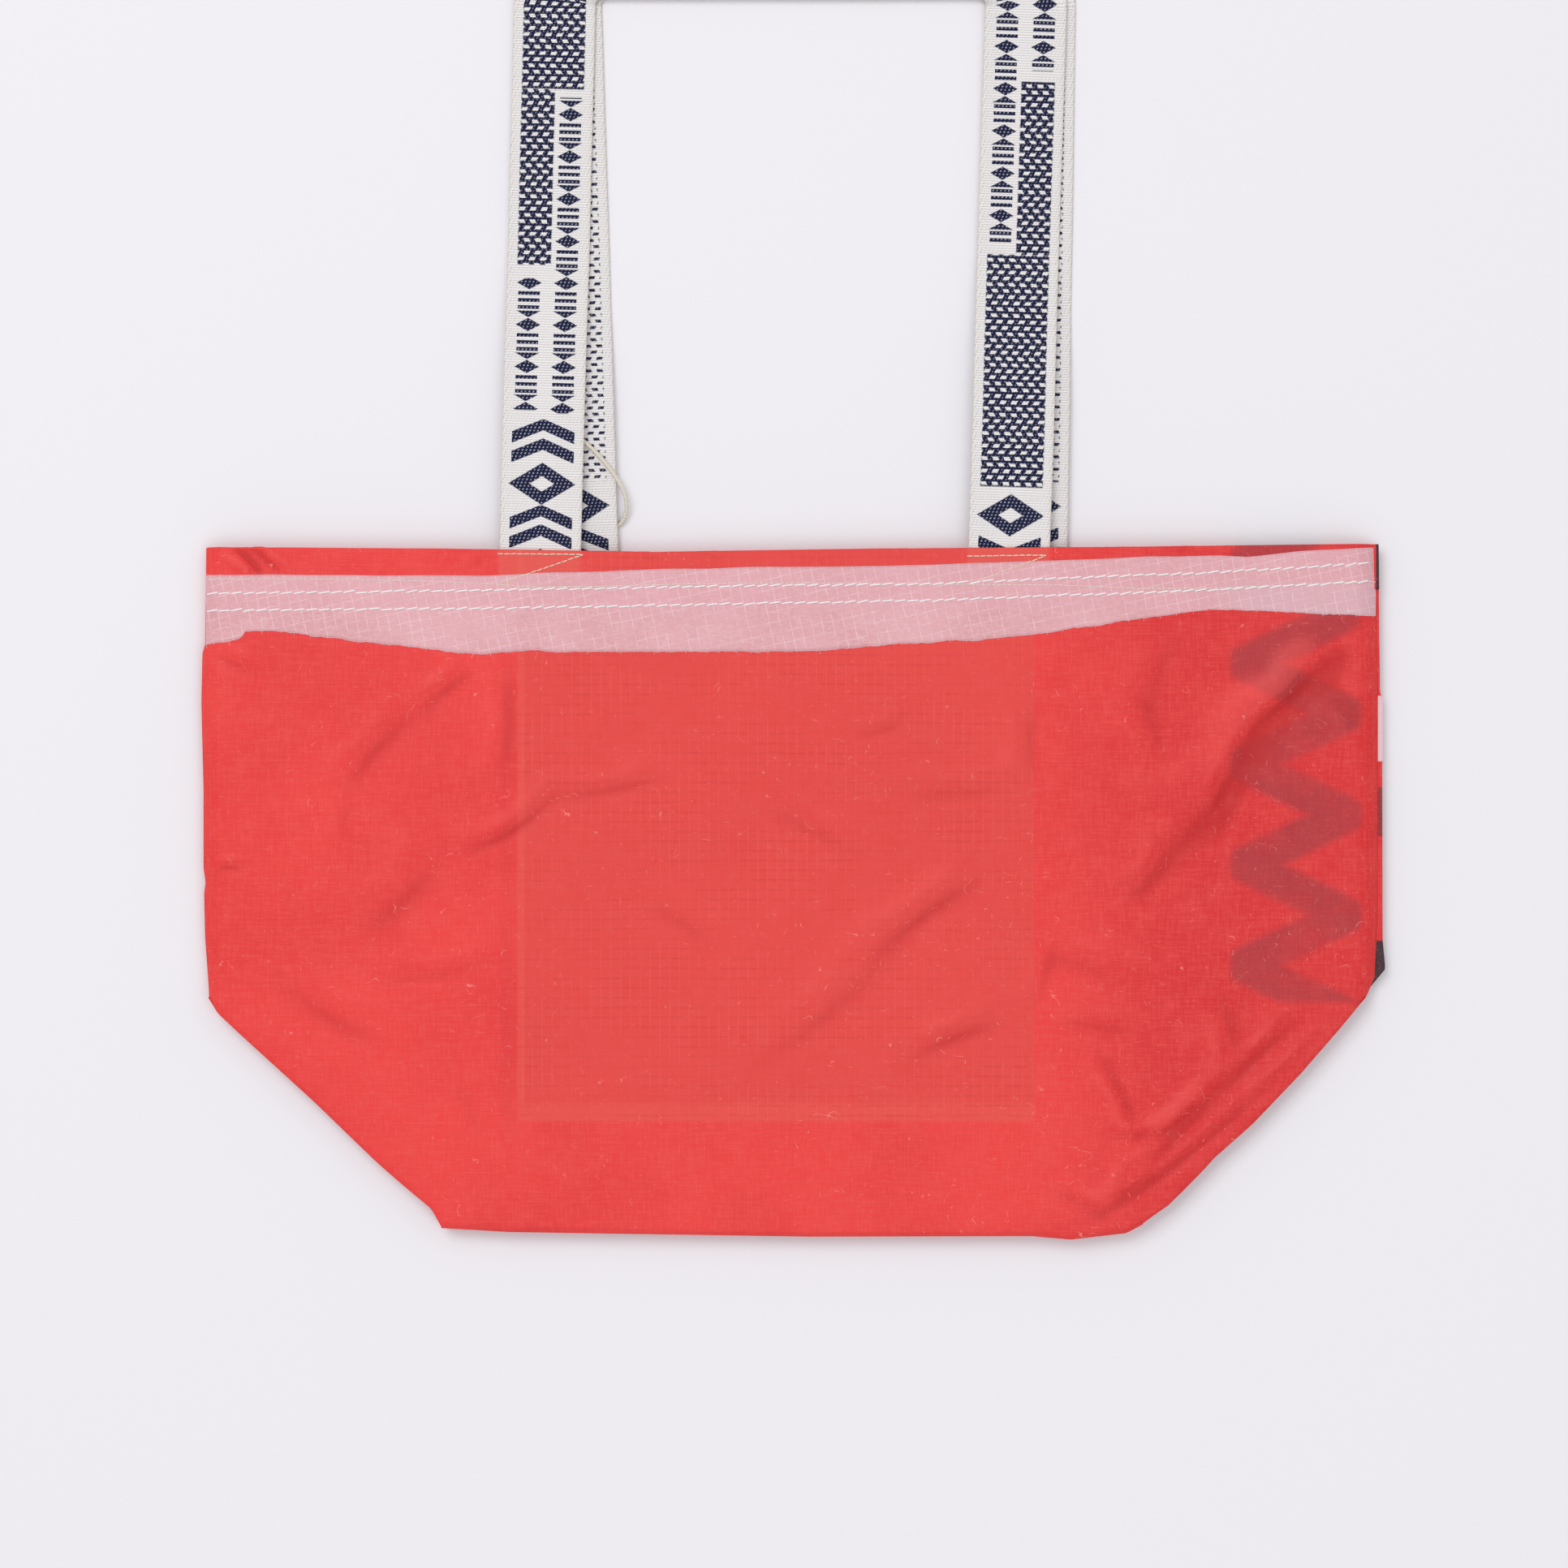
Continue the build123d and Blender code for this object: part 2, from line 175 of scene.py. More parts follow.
BACK_VALLEYS = [
    ((-0.1500, 0.0400), (-0.0400, -0.0300), 0.006, 0.0060, 0.0008),
    ((0.1700, -0.0200), (0.0900, -0.0900), -0.004, 0.0050, 0.0008),
    ((0.0200, 0.0700), (0.0900, 0.0300), 0.004, 0.0055, 0.0006),
    ((-0.1100, -0.0400), (-0.1500, -0.0700), 0.003, 0.0050, 0.0007),
    ((0.1400, 0.0600), (0.1850, 0.0200), 0.004, 0.0050, 0.0007),
    ((-0.0300, -0.0600), (0.0400, -0.1000), 0.004, 0.0060, 0.0006),
]

# The band's edges and its rows of stitches: (x, y) going across.
BAND_LOWER = [
    (-0.2160, 0.0915), (-0.2070, 0.0924), (-0.2030, 0.0933), (-0.2015, 0.0948), (-0.2030, 0.0956),
    (-0.1985, 0.0964), (-0.1910, 0.0965), (-0.1730, 0.0944), (-0.1600, 0.0924), (-0.1430, 0.0910),
    (-0.1270, 0.0887), (-0.1150, 0.0879), (-0.1010, 0.0891), (-0.0780, 0.0887), (0.0070, 0.0889),
    (0.0340, 0.0913), (0.0670, 0.0930), (0.0920, 0.0955), (0.1245, 0.1004), (0.1480, 0.1038),
    (0.1570, 0.1044), (0.1740, 0.1036), (0.1950, 0.1026), (0.2160, 0.1020),
]
BAND_UPPER = [
    (-0.2160, 0.1171), (-0.1140, 0.1168), (-0.0620, 0.1187), (-0.0230, 0.1198), (0.0340, 0.1203),
    (0.0990, 0.1224), (0.1300, 0.1236), (0.1570, 0.1241), (0.1670, 0.1238), (0.1860, 0.1256),
    (0.2160, 0.1274),
]
ZIGZAG_UPPER = [
    (-0.2155, 0.1102), (-0.1340, 0.1111), (-0.0770, 0.1120), (-0.0230, 0.1130), (0.0490, 0.1137),
    (0.0990, 0.1159), (0.1570, 0.1181), (0.1860, 0.1197), (0.2150, 0.1216),
]
ZIGZAG_LOWER = [
    (-0.2155, 0.1039), (-0.1340, 0.1046), (-0.0770, 0.1052), (-0.0230, 0.1064), (0.0490, 0.1076),
    (0.0990, 0.1095), (0.1570, 0.1117), (0.1990, 0.1140), (0.2155, 0.1150),
]
HEM_ROW = [
    (-0.2155, 0.1154), (-0.1670, 0.1154), (-0.1340, 0.1147), (-0.1090, 0.1136), (-0.0940, 0.1125),
    (-0.0770, 0.1127), (-0.0230, 0.1140), (0.0140, 0.1140), (0.0990, 0.1132), (0.1300, 0.1119),
    (0.1570, 0.1123), (0.1860, 0.1134), (0.2155, 0.1147),
]

# Stitches: pitch along the row, and radius of the thread.
STITCH_LOW, STITCH_HIGH = -0.2155, 0.2160  # where rows across the bag start and end
SLANTED_PITCH, SLANTED_LENGTH, SLANTED_RISE, SLANTED_THREAD = 0.0046, 0.0044, 0.0006, 0.00034
HEM_PITCH, HEM_THREAD_RADIUS = 0.0019, 0.00022
HANDLE_PITCH, HANDLE_THREAD_RADIUS = 0.0024, 0.00024
BACK_PITCH, BACK_THREAD_RADIUS = 0.0026, 0.00013
OVER_BAND = BAND_LIFT + BAND_THICKNESS / 2

# Handles: x of the tape's middle at the mouth and at the top, and its height going up.
TAPE_WIDTH = 0.030
TAPE = 0.0012
TAPE_BEND_RADIUS = 0.0175
BOLD_PITCH = 0.0158  # of the large woven marks, along the tape
SMALL_PITCH = 0.0052  # of the small woven marks
LATTICE_ROW = 0.0023  # of the woven lattice, along the tape
LATTICE_COLUMN = 0.0041  # of the woven lattice, across the tape
RIB_PITCH = 0.00095  # of the tape's weft
PATTERN_OUTER = 0.0115  # from the tape's middle to the pattern's outer edge
PATTERN_INNER = 0.0016  # from the tape's middle to a single row of marks
HANDLE_TOP_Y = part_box("front_handle")[1].y - TAPE_WIDTH / 2
TAPE_START_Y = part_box("front_handle_ends")[0].y
FRONT_TAPE_X = (-0.0930, -0.0870, 0.0870, 0.0794)
REAR_TAPE_X = (-0.0787, -0.0860, 0.0900, 0.0864)
FRONT_TAPE_LINE = [
    (0.100, 0.0065), (0.126, 0.0065), (0.180, 0.0065), (0.235, 0.0024), (0.400, 0.0024),
]
REAR_TAPE_LINE = [
    (0.100, 0.0021), (0.126, 0.0021), (0.136, 0.0026), (0.180, 0.0026), (0.215, 0.0007),
    (0.400, 0.0007),
]

POCKET_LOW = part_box("pocket_outer_layer")[0]
POCKET_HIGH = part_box("pocket_outer_layer")[1]
POCKET_FOOT = -0.0840  # where the pocket's lower edge starts to show through

# The tag cord's measure, and its route round the rear tape.
CORD_DIAMETER = 0.0016
CORD_TWIST = 0.0046  # length of one turn of its two plies
CORD_ROUTE = [
    (-0.0825, 0.1705, 0.00435),
    (-0.0768, 0.1665, 0.00435),
    (-0.0710, 0.1610, 0.00440),
    (-0.0656, 0.1542, 0.00440),
    (-0.0619, 0.1476, 0.00390),
    (-0.0611, 0.1416, 0.00250),
    (-0.0632, 0.1366, 0.00100),
    (-0.0686, 0.1336, 0.00085),
    (-0.0756, 0.1332, 0.00085),
    (-0.0830, 0.1350, 0.00085),
    (-0.0900, 0.1386, 0.00085),
    (-0.0958, 0.1434, 0.00105),
    (-0.0982, 0.1496, 0.00260),
    (-0.0966, 0.1560, 0.00400),
    (-0.0920, 0.1616, 0.00440),
    (-0.0864, 0.1666, 0.00435),
]

CAMERA_CENTRE = (-0.0030, 0.0402)
CAMERA_HEIGHT = 1.3685
LENS = 85.0
SENSOR = 36.0

# Colours, linear: the red ripstop, what shows through it, and the dark and pale print on its back.
RED_DARKER, RED_LIGHTER = (0.750, 0.036, 0.035), (0.815, 0.045, 0.042)
RED_RIGHT, RED_PATCHES = (0.635, 0.018, 0.022), (0.800, 0.062, 0.056)
RED_GRID, RED_THREADS = (0.900, 0.110, 0.095), (0.890, 0.100, 0.088)
# Painted shade for the folds' valleys and creases, and a painted highlight for their ridges.
RED_PAINTED_VALLEY_SHADE, RED_PAINTED_RIDGE_HIGHLIGHT = (0.480, 0.010, 0.012), (0.900, 0.100, 0.090)
RED_SCUFF, RED_GHOST = (0.900, 0.250, 0.220), (0.310, 0.034, 0.044)
RED_POCKET, RED_POCKET_EDGE = (0.725, 0.062, 0.052), (0.870, 0.110, 0.080)
RED_POCKET_ROWS, RED_POCKET_COLUMNS = (0.560, 0.028, 0.030), (0.900, 0.135, 0.105)
RED_BESIDE_POCKET, RED_TAPE_ENDS = (0.640, 0.028, 0.030), (0.760, 0.130, 0.100)
PRINT_DARK, PRINT_PALE = (0.050, 0.022, 0.030), (0.760, 0.520, 0.560)
# The pale ripstop of the band, over red cloth, and of the pocket.
PINK_DARKER, PINK_LIGHTER = (0.670, 0.325, 0.350), (0.720, 0.370, 0.400)
POCKET_DARKER, POCKET_LIGHTER = (0.800, 0.520, 0.500), (0.860, 0.640, 0.620)
PINK_GRAIN, PINK_THREADS = (0.840, 0.520, 0.560), (0.860, 0.540, 0.580)
PINK_GRID, PINK_CUT_EDGE = (0.890, 0.650, 0.675), (0.900, 0.640, 0.670)
PINK_OVER_DARK, PINK_OVER_HEM = (0.640, 0.420, 0.465), (0.730, 0.350, 0.400)
# The woven tape, the threads, the cord and the table.
# The tape's groove colour is painted shade between its ribs.
CREAM_GROOVE_PAINTED_SHADE, CREAM_RIB = (0.600, 0.580, 0.575), (0.860, 0.830, 0.825)
CREAM_PATCHES, CREAM_SELVEDGE = (0.800, 0.765, 0.740), (0.830, 0.770, 0.710)
NAVY, NAVY_FLECKS = (0.010, 0.013, 0.046), (0.600, 0.600, 0.690)
WHITE_THREAD, CREAM_THREAD = (0.985, 0.955, 0.960), (0.860, 0.740, 0.660)
HANDLE_THREAD, CORD_COTTON = (0.880, 0.740, 0.580), (0.760, 0.700, 0.590)
TABLE_TOP, ROOM_LIGHT = (0.835, 0.820, 0.850), (0.98, 0.98, 1.0)


# --- Meshes -------------------------------------------------------------------------------


def along(line, values):
    """y of a line of (x, y) points at the given x values."""
    xs, ys = zip(*line)
    return np.interp(values, xs, ys)


def smooth(values, low, high):
    """0 below low, 1 above high and a smooth step between."""
    t = np.clip((values - low) / (high - low), 0, 1)
    return t * t * (3 - 2 * t)


def ripple(x, y, size, seed):
    """Smooth noise from about -1 to 1 over the plane, with features of about the given size."""
    flat = np.stack([x.ravel(), y.ravel()], axis=1) / size
    values = [noise.noise(Vector((a, b, seed))) for a, b in flat]
    return np.array(values).reshape(x.shape)


def crisp(off):
    """1 at 0 and falling away on both sides, rounded but with a creased middle."""
    return 0.55 * np.exp(-(off**2)) + 0.45 * np.exp(-1.7 * np.abs(off))


def valleys(x, y, folds):
    """Height of a set of folds, each a valley with a ridge towards the light, and their painted
    shade.
    """
    height, painted_fold_shade = np.zeros_like(x), np.zeros_like(x)
    for start, end, bow, width, drop in folds:
        run = np.array(end) - np.array(start)
        length = np.hypot(*run)
        t = ((x - start[0]) * run[0] + (y - start[1]) * run[1]) / length**2
        off = ((x - start[0]) * -run[1] + (y - start[1]) * run[0]) / length
        off = off - 4 * bow * t * (1 - t)
        lit = 1 if run[0] + run[1] > 0 else -1
        spread = np.clip(t * 0.80 + 0.10, 0, 1)
        fade = np.sin(np.pi * spread) ** 1.3
        flare = width * (1 + 0.5 * np.abs(2 * t - 1))
        valley = crisp(off / flare) * fade
        ridge = crisp((off * lit - 2.0 * flare) / (1.2 * flare)) * fade
        height += drop * (0.75 * ridge - 0.85 * valley)
        painted_fold_shade += drop * (valley - 0.6 * ridge)
    # Painted shade: dark in each valley, a painted highlight on each ridge.
    return height, painted_fold_shade


def crumple(x, y, size, seed):
    """1 along the edges of the facets that crumpled cloth falls into, and 0 between them."""
    shift_x = ripple(x, y, size * 1.3, seed + 0.5) * 0.5
    shift_y = ripple(y, x, size * 1.3, seed + 1.5) * 0.5
    places = np.stack([x / size + shift_x, y / size + shift_y], axis=-1).reshape(-1, 2)
    gaps = []
    for a, b in places:
        near = noise.voronoi(Vector((a, b, seed)))[0]
        gaps.append(near[1] - near[0])
    return np.exp(-((np.array(gaps).reshape(x.shape) / 0.09) ** 2))


def mesh_object(name, vertices, faces, material, coordinates=None, shade=None):
    """A smooth mesh object. Attributes keep each point's place on the flat cloth and its painted
    shade.
    """
    mesh = bpy.data.meshes.new(name)
    mesh.from_pydata([tuple(v) for v in vertices], [], faces)
    mesh.update()
    rest = np.array(vertices if coordinates is None else coordinates, np.float32)
    attribute = mesh.attributes.new("cloth", "FLOAT_VECTOR", "POINT")
    attribute.data.foreach_set("vector", rest.ravel())
    if shade is not None:
        dark = mesh.attributes.new("shade", "FLOAT", "POINT")
        dark.data.foreach_set("value", np.array(shade, np.float32).ravel())
    mesh.polygons.foreach_set("use_smooth", [True] * len(mesh.polygons))
    mesh.materials.append(material)
    piece = bpy.data.objects.new(name, mesh)
    scene.collection.objects.link(piece)
    return piece


def grid_faces(points):
    """The number of each point in a grid, and the grid's faces."""
    rows, columns, _ = points.shape
    index = np.arange(rows * columns).reshape(rows, columns)
    quads = np.stack([index[:-1, :-1], index[:-1, 1:], index[1:, 1:], index[1:, :-1]], axis=-1)
    return index, quads.reshape(-1, 4)


def cloth_sheet(name, points, thickness, material, coordinates=None, shade=None):
    """A closed thin sheet from a grid of points."""
    lift = normals_of(points) * thickness / 2
    vertices = np.concatenate([(points + lift).reshape(-1, 3), (points - lift).reshape(-1, 3)])
    index, quads = grid_faces(points)
    count = index.size
    rim = np.concatenate([index[0, :-1], index[:-1, -1], index[-1, :0:-1], index[:0:-1, 0]])
    following = np.roll(rim, -1)
    walls = np.stack([rim, rim + count, following + count, following], axis=1)
    faces = np.concatenate([quads, quads[:, ::-1] + count, walls]).tolist()
    rest = points if coordinates is None else coordinates
    doubled = np.concatenate([rest.reshape(-1, 3)] * 2)
    shades = None if shade is None else np.concatenate([shade.ravel()] * 2)
    piece = mesh_object(name, vertices, faces, material, doubled, shades)
    flat = np.ones(len(faces), bool)
    flat[-len(walls):] = False
    piece.data.polygons.foreach_set("use_smooth", flat)
    return piece


# --- Materials ----------------------------------------------------------------------------


class Field:
    """A number that varies over a surface. Arithmetic on it adds Math nodes to its material."""

    def __init__(self, tree, socket):
        self.tree = tree
        self.socket = socket

    def math(self, operation, *others):
        node = self.tree.nodes.new("ShaderNodeMath")
        node.operation = operation
        for place, value in enumerate((self, *others)):
            if isinstance(value, Field):
                self.tree.links.new(value.socket, node.inputs[place])
            else:
                node.inputs[place].default_value = value
        return Field(self.tree, node.outputs[0])

    def ramp(self, low, high, low_value=0.0, high_value=1.0):
        """A smooth step from one value at low to another at high."""
        node = self.tree.nodes.new("ShaderNodeMapRange")
        node.interpolation_type = "SMOOTHSTEP"
        self.tree.links.new(self.socket, node.inputs["Value"])
        node.inputs["From Min"].default_value = low
        node.inputs["From Max"].default_value = high
        node.inputs["To Min"].default_value = low_value
        node.inputs["To Max"].default_value = high_value
        return Field(self.tree, node.outputs["Result"])

    def inside(self, low, high, edge=0.00005):
        """1 between two values and 0 outside, with a soft edge."""
        middle = (low + high) / 2
        half = (high - low) / 2
        return abs(self - middle).ramp(half - edge, half + edge, 1.0, 0.0)


OPERATIONS = {
    "__add__": "ADD",
    "__sub__": "SUBTRACT",
    "__mul__": "MULTIPLY",
    "__truediv__": "DIVIDE",
    "__abs__": "ABSOLUTE",
    "below": "LESS_THAN",
    "above": "GREATER_THAN",
    "least": "MINIMUM",
    "most": "MAXIMUM",
    "fraction": "FRACT",
}
for method, operation in OPERATIONS.items():
    setattr(Field, method, partialmethod(Field.math, operation))


class Surface:
    """A material being made: its nodes, the cloth's own coordinates, and a Principled shader."""

    def __init__(self, name, roughness=0.6):
        self.material = bpy.data.materials.new(name)
        self.material.use_nodes = True
        self.tree = self.material.node_tree
        self.shader = self.tree.nodes["Principled BSDF"]
        self.shader.inputs["Roughness"].default_value = roughness
        attribute = self.tree.nodes.new("ShaderNodeAttribute")
        attribute.attribute_name = "cloth"
        self.place = attribute.outputs["Vector"]
        split = self.tree.nodes.new("ShaderNodeSeparateXYZ")
        self.tree.links.new(self.place, split.inputs[0])
        self.x, self.y, self.z = (Field(self.tree, split.outputs[i]) for i in range(3))
        shade = self.tree.nodes.new("ShaderNodeAttribute")
        shade.attribute_name = "shade"
        self.shade = Field(self.tree, shade.outputs["Fac"])

    def turned(self, angle):
        """The cloth's coordinates turned by an angle in degrees, as two fields."""
        c, s = math.cos(math.radians(angle)), math.sin(math.radians(angle))
        return self.x * c + self.y * s, self.y * c - self.x * s

    def noise(self, size, detail=3.0, stretch=(1.0, 1.0), offset=0.0):
        """Noise from 0 to 1 with features of about the given size, stretched along x or y."""
        mapping = self.tree.nodes.new("ShaderNodeMapping")
        mapping.inputs["Location"].default_value = (offset, offset, offset)
        mapping.inputs["Scale"].default_value = (1 / stretch[0], 1 / stretch[1], 1)
        self.tree.links.new(self.place, mapping.inputs["Vector"])
        node = self.tree.nodes.new("ShaderNodeTexNoise")
        node.inputs["Scale"].default_value = 1 / size
        node.inputs["Detail"].default_value = detail
        self.tree.links.new(mapping.outputs[0], node.inputs["Vector"])
        return Field(self.tree, node.outputs["Fac"])

    def mix(self, share, first, second):
        """A colour: first where share is 0 and second where it is 1."""
        node = self.tree.nodes.new("ShaderNodeMix")
        node.data_type = "RGBA"
        self.tree.links.new(share.socket, node.inputs["Factor"])
        for socket, value in ((node.inputs[6], first), (node.inputs[7], second)):
            if isinstance(value, tuple):
                socket.default_value = (*value, 1)
            else:
                self.tree.links.new(value, socket)
        return node.outputs[2]

    def colour(self, socket):
        self.tree.links.new(socket, self.shader.inputs["Base Color"])

    def rough(self, field):
        self.tree.links.new(field.socket, self.shader.inputs["Roughness"])

    def bump(self, height, distance, strength=1.0):
        node = self.tree.nodes.new("ShaderNodeBump")
        node.inputs["Distance"].default_value = distance
        node.inputs["Strength"].default_value = strength
        self.tree.links.new(height.socket, node.inputs["Height"])
        self.tree.links.new(node.outputs[0], self.shader.inputs["Normal"])

    def specular(self, level):
        self.shader.inputs["Specular IOR Level"].default_value = level

    def sheen(self, weight, roughness=0.5):
        self.shader.inputs["Sheen Weight"].default_value = weight
        self.shader.inputs["Sheen Roughness"].default_value = roughness


def lines(u, pitch, width):
    """1 on thin lines across the direction u, every pitch."""
    half = width / pitch / 2
    return abs((u / pitch).fraction() - 0.5).ramp(half, half * 1.7, 1.0, 0.0)


def zigzag(surface, edge):
    """The dark stripe near the right side: 1 on a zigzag ribbon going up, with soft edges."""
    sway = abs(((surface.y - 0.0660) / 0.0370).fraction() - 0.5) * 4 - 1
    off = abs(surface.x - 0.1850 - sway * 0.0190)
    ribbon = off.ramp(0.0150 - edge * 2.2, 0.0150 + edge * 2.2, 1.0, 0.0)
    ends = surface.x.inside(0.1610, 0.2090, edge)
    return ribbon * ends * surface.y.inside(-0.0400, 0.1330, edge)


def hairs(s, size, width, offset):
    """Fine curved scuffs and hairs: 1 along short stretches of a noise's contour lines."""
    contour = abs(s.noise(size, 1.0, offset=offset) - 0.5).ramp(width * 0.5, width, 1.0, 0.0)
    return contour * s.noise(size * 0.45, 2.0, offset=offset + 3.3).ramp(0.60, 0.66)


def scuffs(s):
    """All the fine pale marks on the ripstop."""
    marks = hairs(s, 0.0070, 0.0060, 1.7).most(hairs(s, 0.0110, 0.0045, 5.1))
    return marks.most(hairs(s, 0.0045, 0.0080, 9.4) * 0.7)


def show_through(s, colour):
    """The pocket, the tape ends and the dark stripe as they show through the front cloth."""
    across = s.x.inside(POCKET_LOW.x, POCKET_HIGH.x, 0.0004)
    up = s.y.ramp(POCKET_FOOT, POCKET_FOOT + 0.0007)
    pocket = across * up
    colour = s.mix(pocket * 0.60, colour, RED_POCKET)
    left_edge = s.x.inside(POCKET_LOW.x, POCKET_LOW.x + 0.0028, 0.0005) * up
    low_edge = s.y.inside(POCKET_FOOT + 0.0002, POCKET_FOOT + 0.0070, 0.0008) * across
    colour = s.mix(left_edge.most(low_edge) * 0.24, colour, RED_POCKET_EDGE)
    beside = s.x.inside(POCKET_LOW.x - 0.0062, POCKET_LOW.x - 0.0003, 0.0016)
    beside = beside * s.y.inside(-0.0900, 0.0850, 0.012) * s.noise(0.030, 2.0, offset=7.7)
    colour = s.mix(beside * 0.45, colour, RED_BESIDE_POCKET)
    dash = s.noise(0.0030, 1.0, (1.6, 0.5), 6.6).ramp(0.36, 0.56)
    row = lines(s.y + s.noise(0.040, 1.0) * 0.0014, RIPSTOP_PITCH, 0.00062)
    patchy = s.noise(0.016, 2.0, (2.2, 1.0), 2.2).ramp(0.34, 0.62)
    colour = s.mix(row * dash * patchy * pocket * 0.27, colour, RED_POCKET_ROWS)
    column = lines(s.x, RIPSTOP_PITCH, 0.00045) * patchy * pocket
    colour = s.mix(column * 0.16, colour, RED_POCKET_COLUMNS)
    ends = s.x.inside(-0.108, -0.078, 0.001).most(s.x.inside(0.0644, 0.0944, 0.001))
    colour = s.mix(ends * s.y.ramp(0.1125, 0.1135) * 0.40, colour, RED_TAPE_ENDS)
    ghost = zigzag(s, 0.0021) * s.noise(0.022, 3.0, offset=4.0).ramp(0.25, 0.6, 0.60, 1.0)
    ghost = ghost * s.noise(0.0012, 2.0, offset=3.0).ramp(0.3, 0.7, 0.80, 1.0)
    return s.mix(ghost * 0.70, colour, RED_GHOST)


def back_print(s, colour):
    """The dark stripe and corner, and the pale strip, as they are on the back cloth."""
    corner = s.x.above(0.2000) * s.y.inside(-0.0340, -0.0175, 0.0004)
    seam = s.x.above(0.2130) * s.y.inside(0.0210, 0.0390, 0.0004) * 0.6
    top = s.x.above(0.2150) * s.y.inside(0.1140, 0.1500, 0.0004)
    dark = zigzag(s, 0.0003).most(corner).most(seam).most(top)
    colour = s.mix(dark, colour, PRINT_DARK)
    strip = s.x.above(0.2080) * s.y.inside(0.0486, 0.0727, 0.0003)
    return s.mix(strip, colour, PRINT_PALE)


def ripstop(name, front=False, back=False):
    """Thin red ripstop. front shows the pocket and stripe behind it; back carries the stripe."""
    s = Surface(name, roughness=0.52)
    broad = s.noise(0.060, 3.0, offset=0.3)
    patches = s.noise(0.012, 4.0)
    colour = s.mix(broad.ramp(0.35, 0.65), RED_DARKER, RED_LIGHTER)
    colour = s.mix(s.x.ramp(0.085, 0.150) * 0.80, colour, RED_RIGHT)
    colour = s.mix(patches.ramp(0.42, 0.75) * 0.30, colour, RED_PATCHES)
    grid = lines(s.x, RIPSTOP_PITCH, 0.00035).most(lines(s.y, RIPSTOP_PITCH, 0.00035))
    threads = s.noise(0.0007, 2.0, (1.0, 9.0)) * 0.5 + s.noise(0.0007, 2.0, (9.0, 1.0), 0.7) * 0.5
    colour = s.mix(grid * 0.10, colour, RED_GRID)
    colour = s.mix(threads.ramp(0.42, 0.66) * 0.30, colour, RED_THREADS)
    if front:
        colour = show_through(s, colour)
    if back:
        colour = back_print(s, colour)
    # Painted shade in the folds' valleys and creases, and a painted highlight on their ridges.
    colour = s.mix(s.shade.ramp(0.0, 0.0014) * 0.66, colour, RED_PAINTED_VALLEY_SHADE)
    colour = s.mix((s.shade * -1).ramp(0.0, 0.0009) * 0.32, colour, RED_PAINTED_RIDGE_HIGHLIGHT)
    colour = s.mix(scuffs(s) * s.noise(0.050, 1.0).ramp(0.3, 0.7, 0.25, 0.7), colour, RED_SCUFF)
    s.colour(colour)
    s.rough(s.noise(0.006, 3.0, offset=6.0).ramp(0.3, 0.7, 0.48, 0.62))
    weave = threads * 0.5 + grid * 0.7 + s.noise(0.0040, 4.0, offset=8.0) * 1.6
    s.bump(weave, 0.00007, 0.8)
    s.specular(0.30)
    s.sheen(0.03)
    return s.material


def pale_ripstop(name, over_red=True):
    """Pale see-through ripstop with a slanting white grid, tinted by the red cloth behind it."""
    s = Surface(name, roughness=0.5)
    u, v = s.turned(BAND_GRID_ANGLE)
    tints = (PINK_DARKER, PINK_LIGHTER) if over_red else (POCKET_DARKER, POCKET_LIGHTER)
    colour = s.mix(s.noise(0.030, 3.0).ramp(0.35, 0.68), *tints)
    colour = s.mix(s.noise(0.0016, 3.0).ramp(0.45, 0.75) * 0.35, colour, PINK_GRAIN)
    if over_red:
        shade = s.x.ramp(0.150, 0.170) * s.y.inside(0.095, 0.1135, 0.003)
        colour = s.mix(shade * 0.8, colour, PINK_OVER_DARK)
        hem = s.y.inside(0.1040, 0.1500, 0.0015) * 0.35
        colour = s.mix(hem, colour, PINK_OVER_HEM)
    wobble = s.noise(0.020, 2.0, offset=3.0) * 0.0016
    uneven = s.noise(0.007, 2.0, offset=5.0).ramp(0.35, 0.62, 0.10, 1.0)
    grid = lines(u + wobble, 0.0038, 0.00021).most(lines(v - wobble, 0.0040, 0.00020) * 0.8)
    grid = grid * uneven
    colour = s.mix(grid * 0.60, colour, PINK_GRID)
    weave = s.noise(0.0005, 2.0, (1.0, 7.0)) * 0.5 + s.noise(0.0005, 2.0, (7.0, 1.0), 0.7) * 0.5
    colour = s.mix(weave.ramp(0.42, 0.66) * 0.25, colour, PINK_THREADS)
    if over_red:
        colour = s.mix(s.z.ramp(0.0, 0.00035, 0.75, 0.0), colour, PINK_CUT_EDGE)
    s.colour(colour)
    s.bump(grid * 0.6 + s.noise(0.0006, 2.0) * 0.4, 0.00006, 0.7)
    s.sheen(0.10)
    return s.material


def rectangles(s, areas, edge=0.0003):
    """1 inside any of the areas (x low, x high, y low, y high) and 0 outside."""
    total = None
    for low_x, high_x, low_y, high_y in areas:
        one = s.x.inside(low_x, high_x, edge) * s.y.inside(low_y, high_y, edge)
        total = one if total is None else total.most(one)
    return total


def blocks(s, wide, high):
    """1 on staggered blocks that lean one way, then the other. Sizes are shares of the pitch."""
    ragged = (s.noise(0.0011, 1.0) - 0.5) * 0.0008
    row = (s.y + ragged) / LATTICE_ROW
    shift = (row / 2).fraction().above(0.5) * 0.5
    way = (row / 4).fraction().above(0.5) * 2 - 1
    lean = (row.fraction() - 0.5) * way * 0.0011 + ragged
    across = abs(((s.x + lean) / LATTICE_COLUMN + shift).fraction() - 0.5)
    block_x = across.ramp(wide / 2 - 0.02, wide / 2 + 0.02, 1.0, 0.0)
    block_y = abs(row.fraction() - 0.5).ramp(high / 2 - 0.03, high / 2 + 0.03, 1.0, 0.0)
    return block_x * block_y


def in_turn(count, first, second):
    """first over the first half of each whole count, and second over the other half."""
    swap = count.fraction().above(0.5)
    return first * (swap * -1 + 1) + second * swap


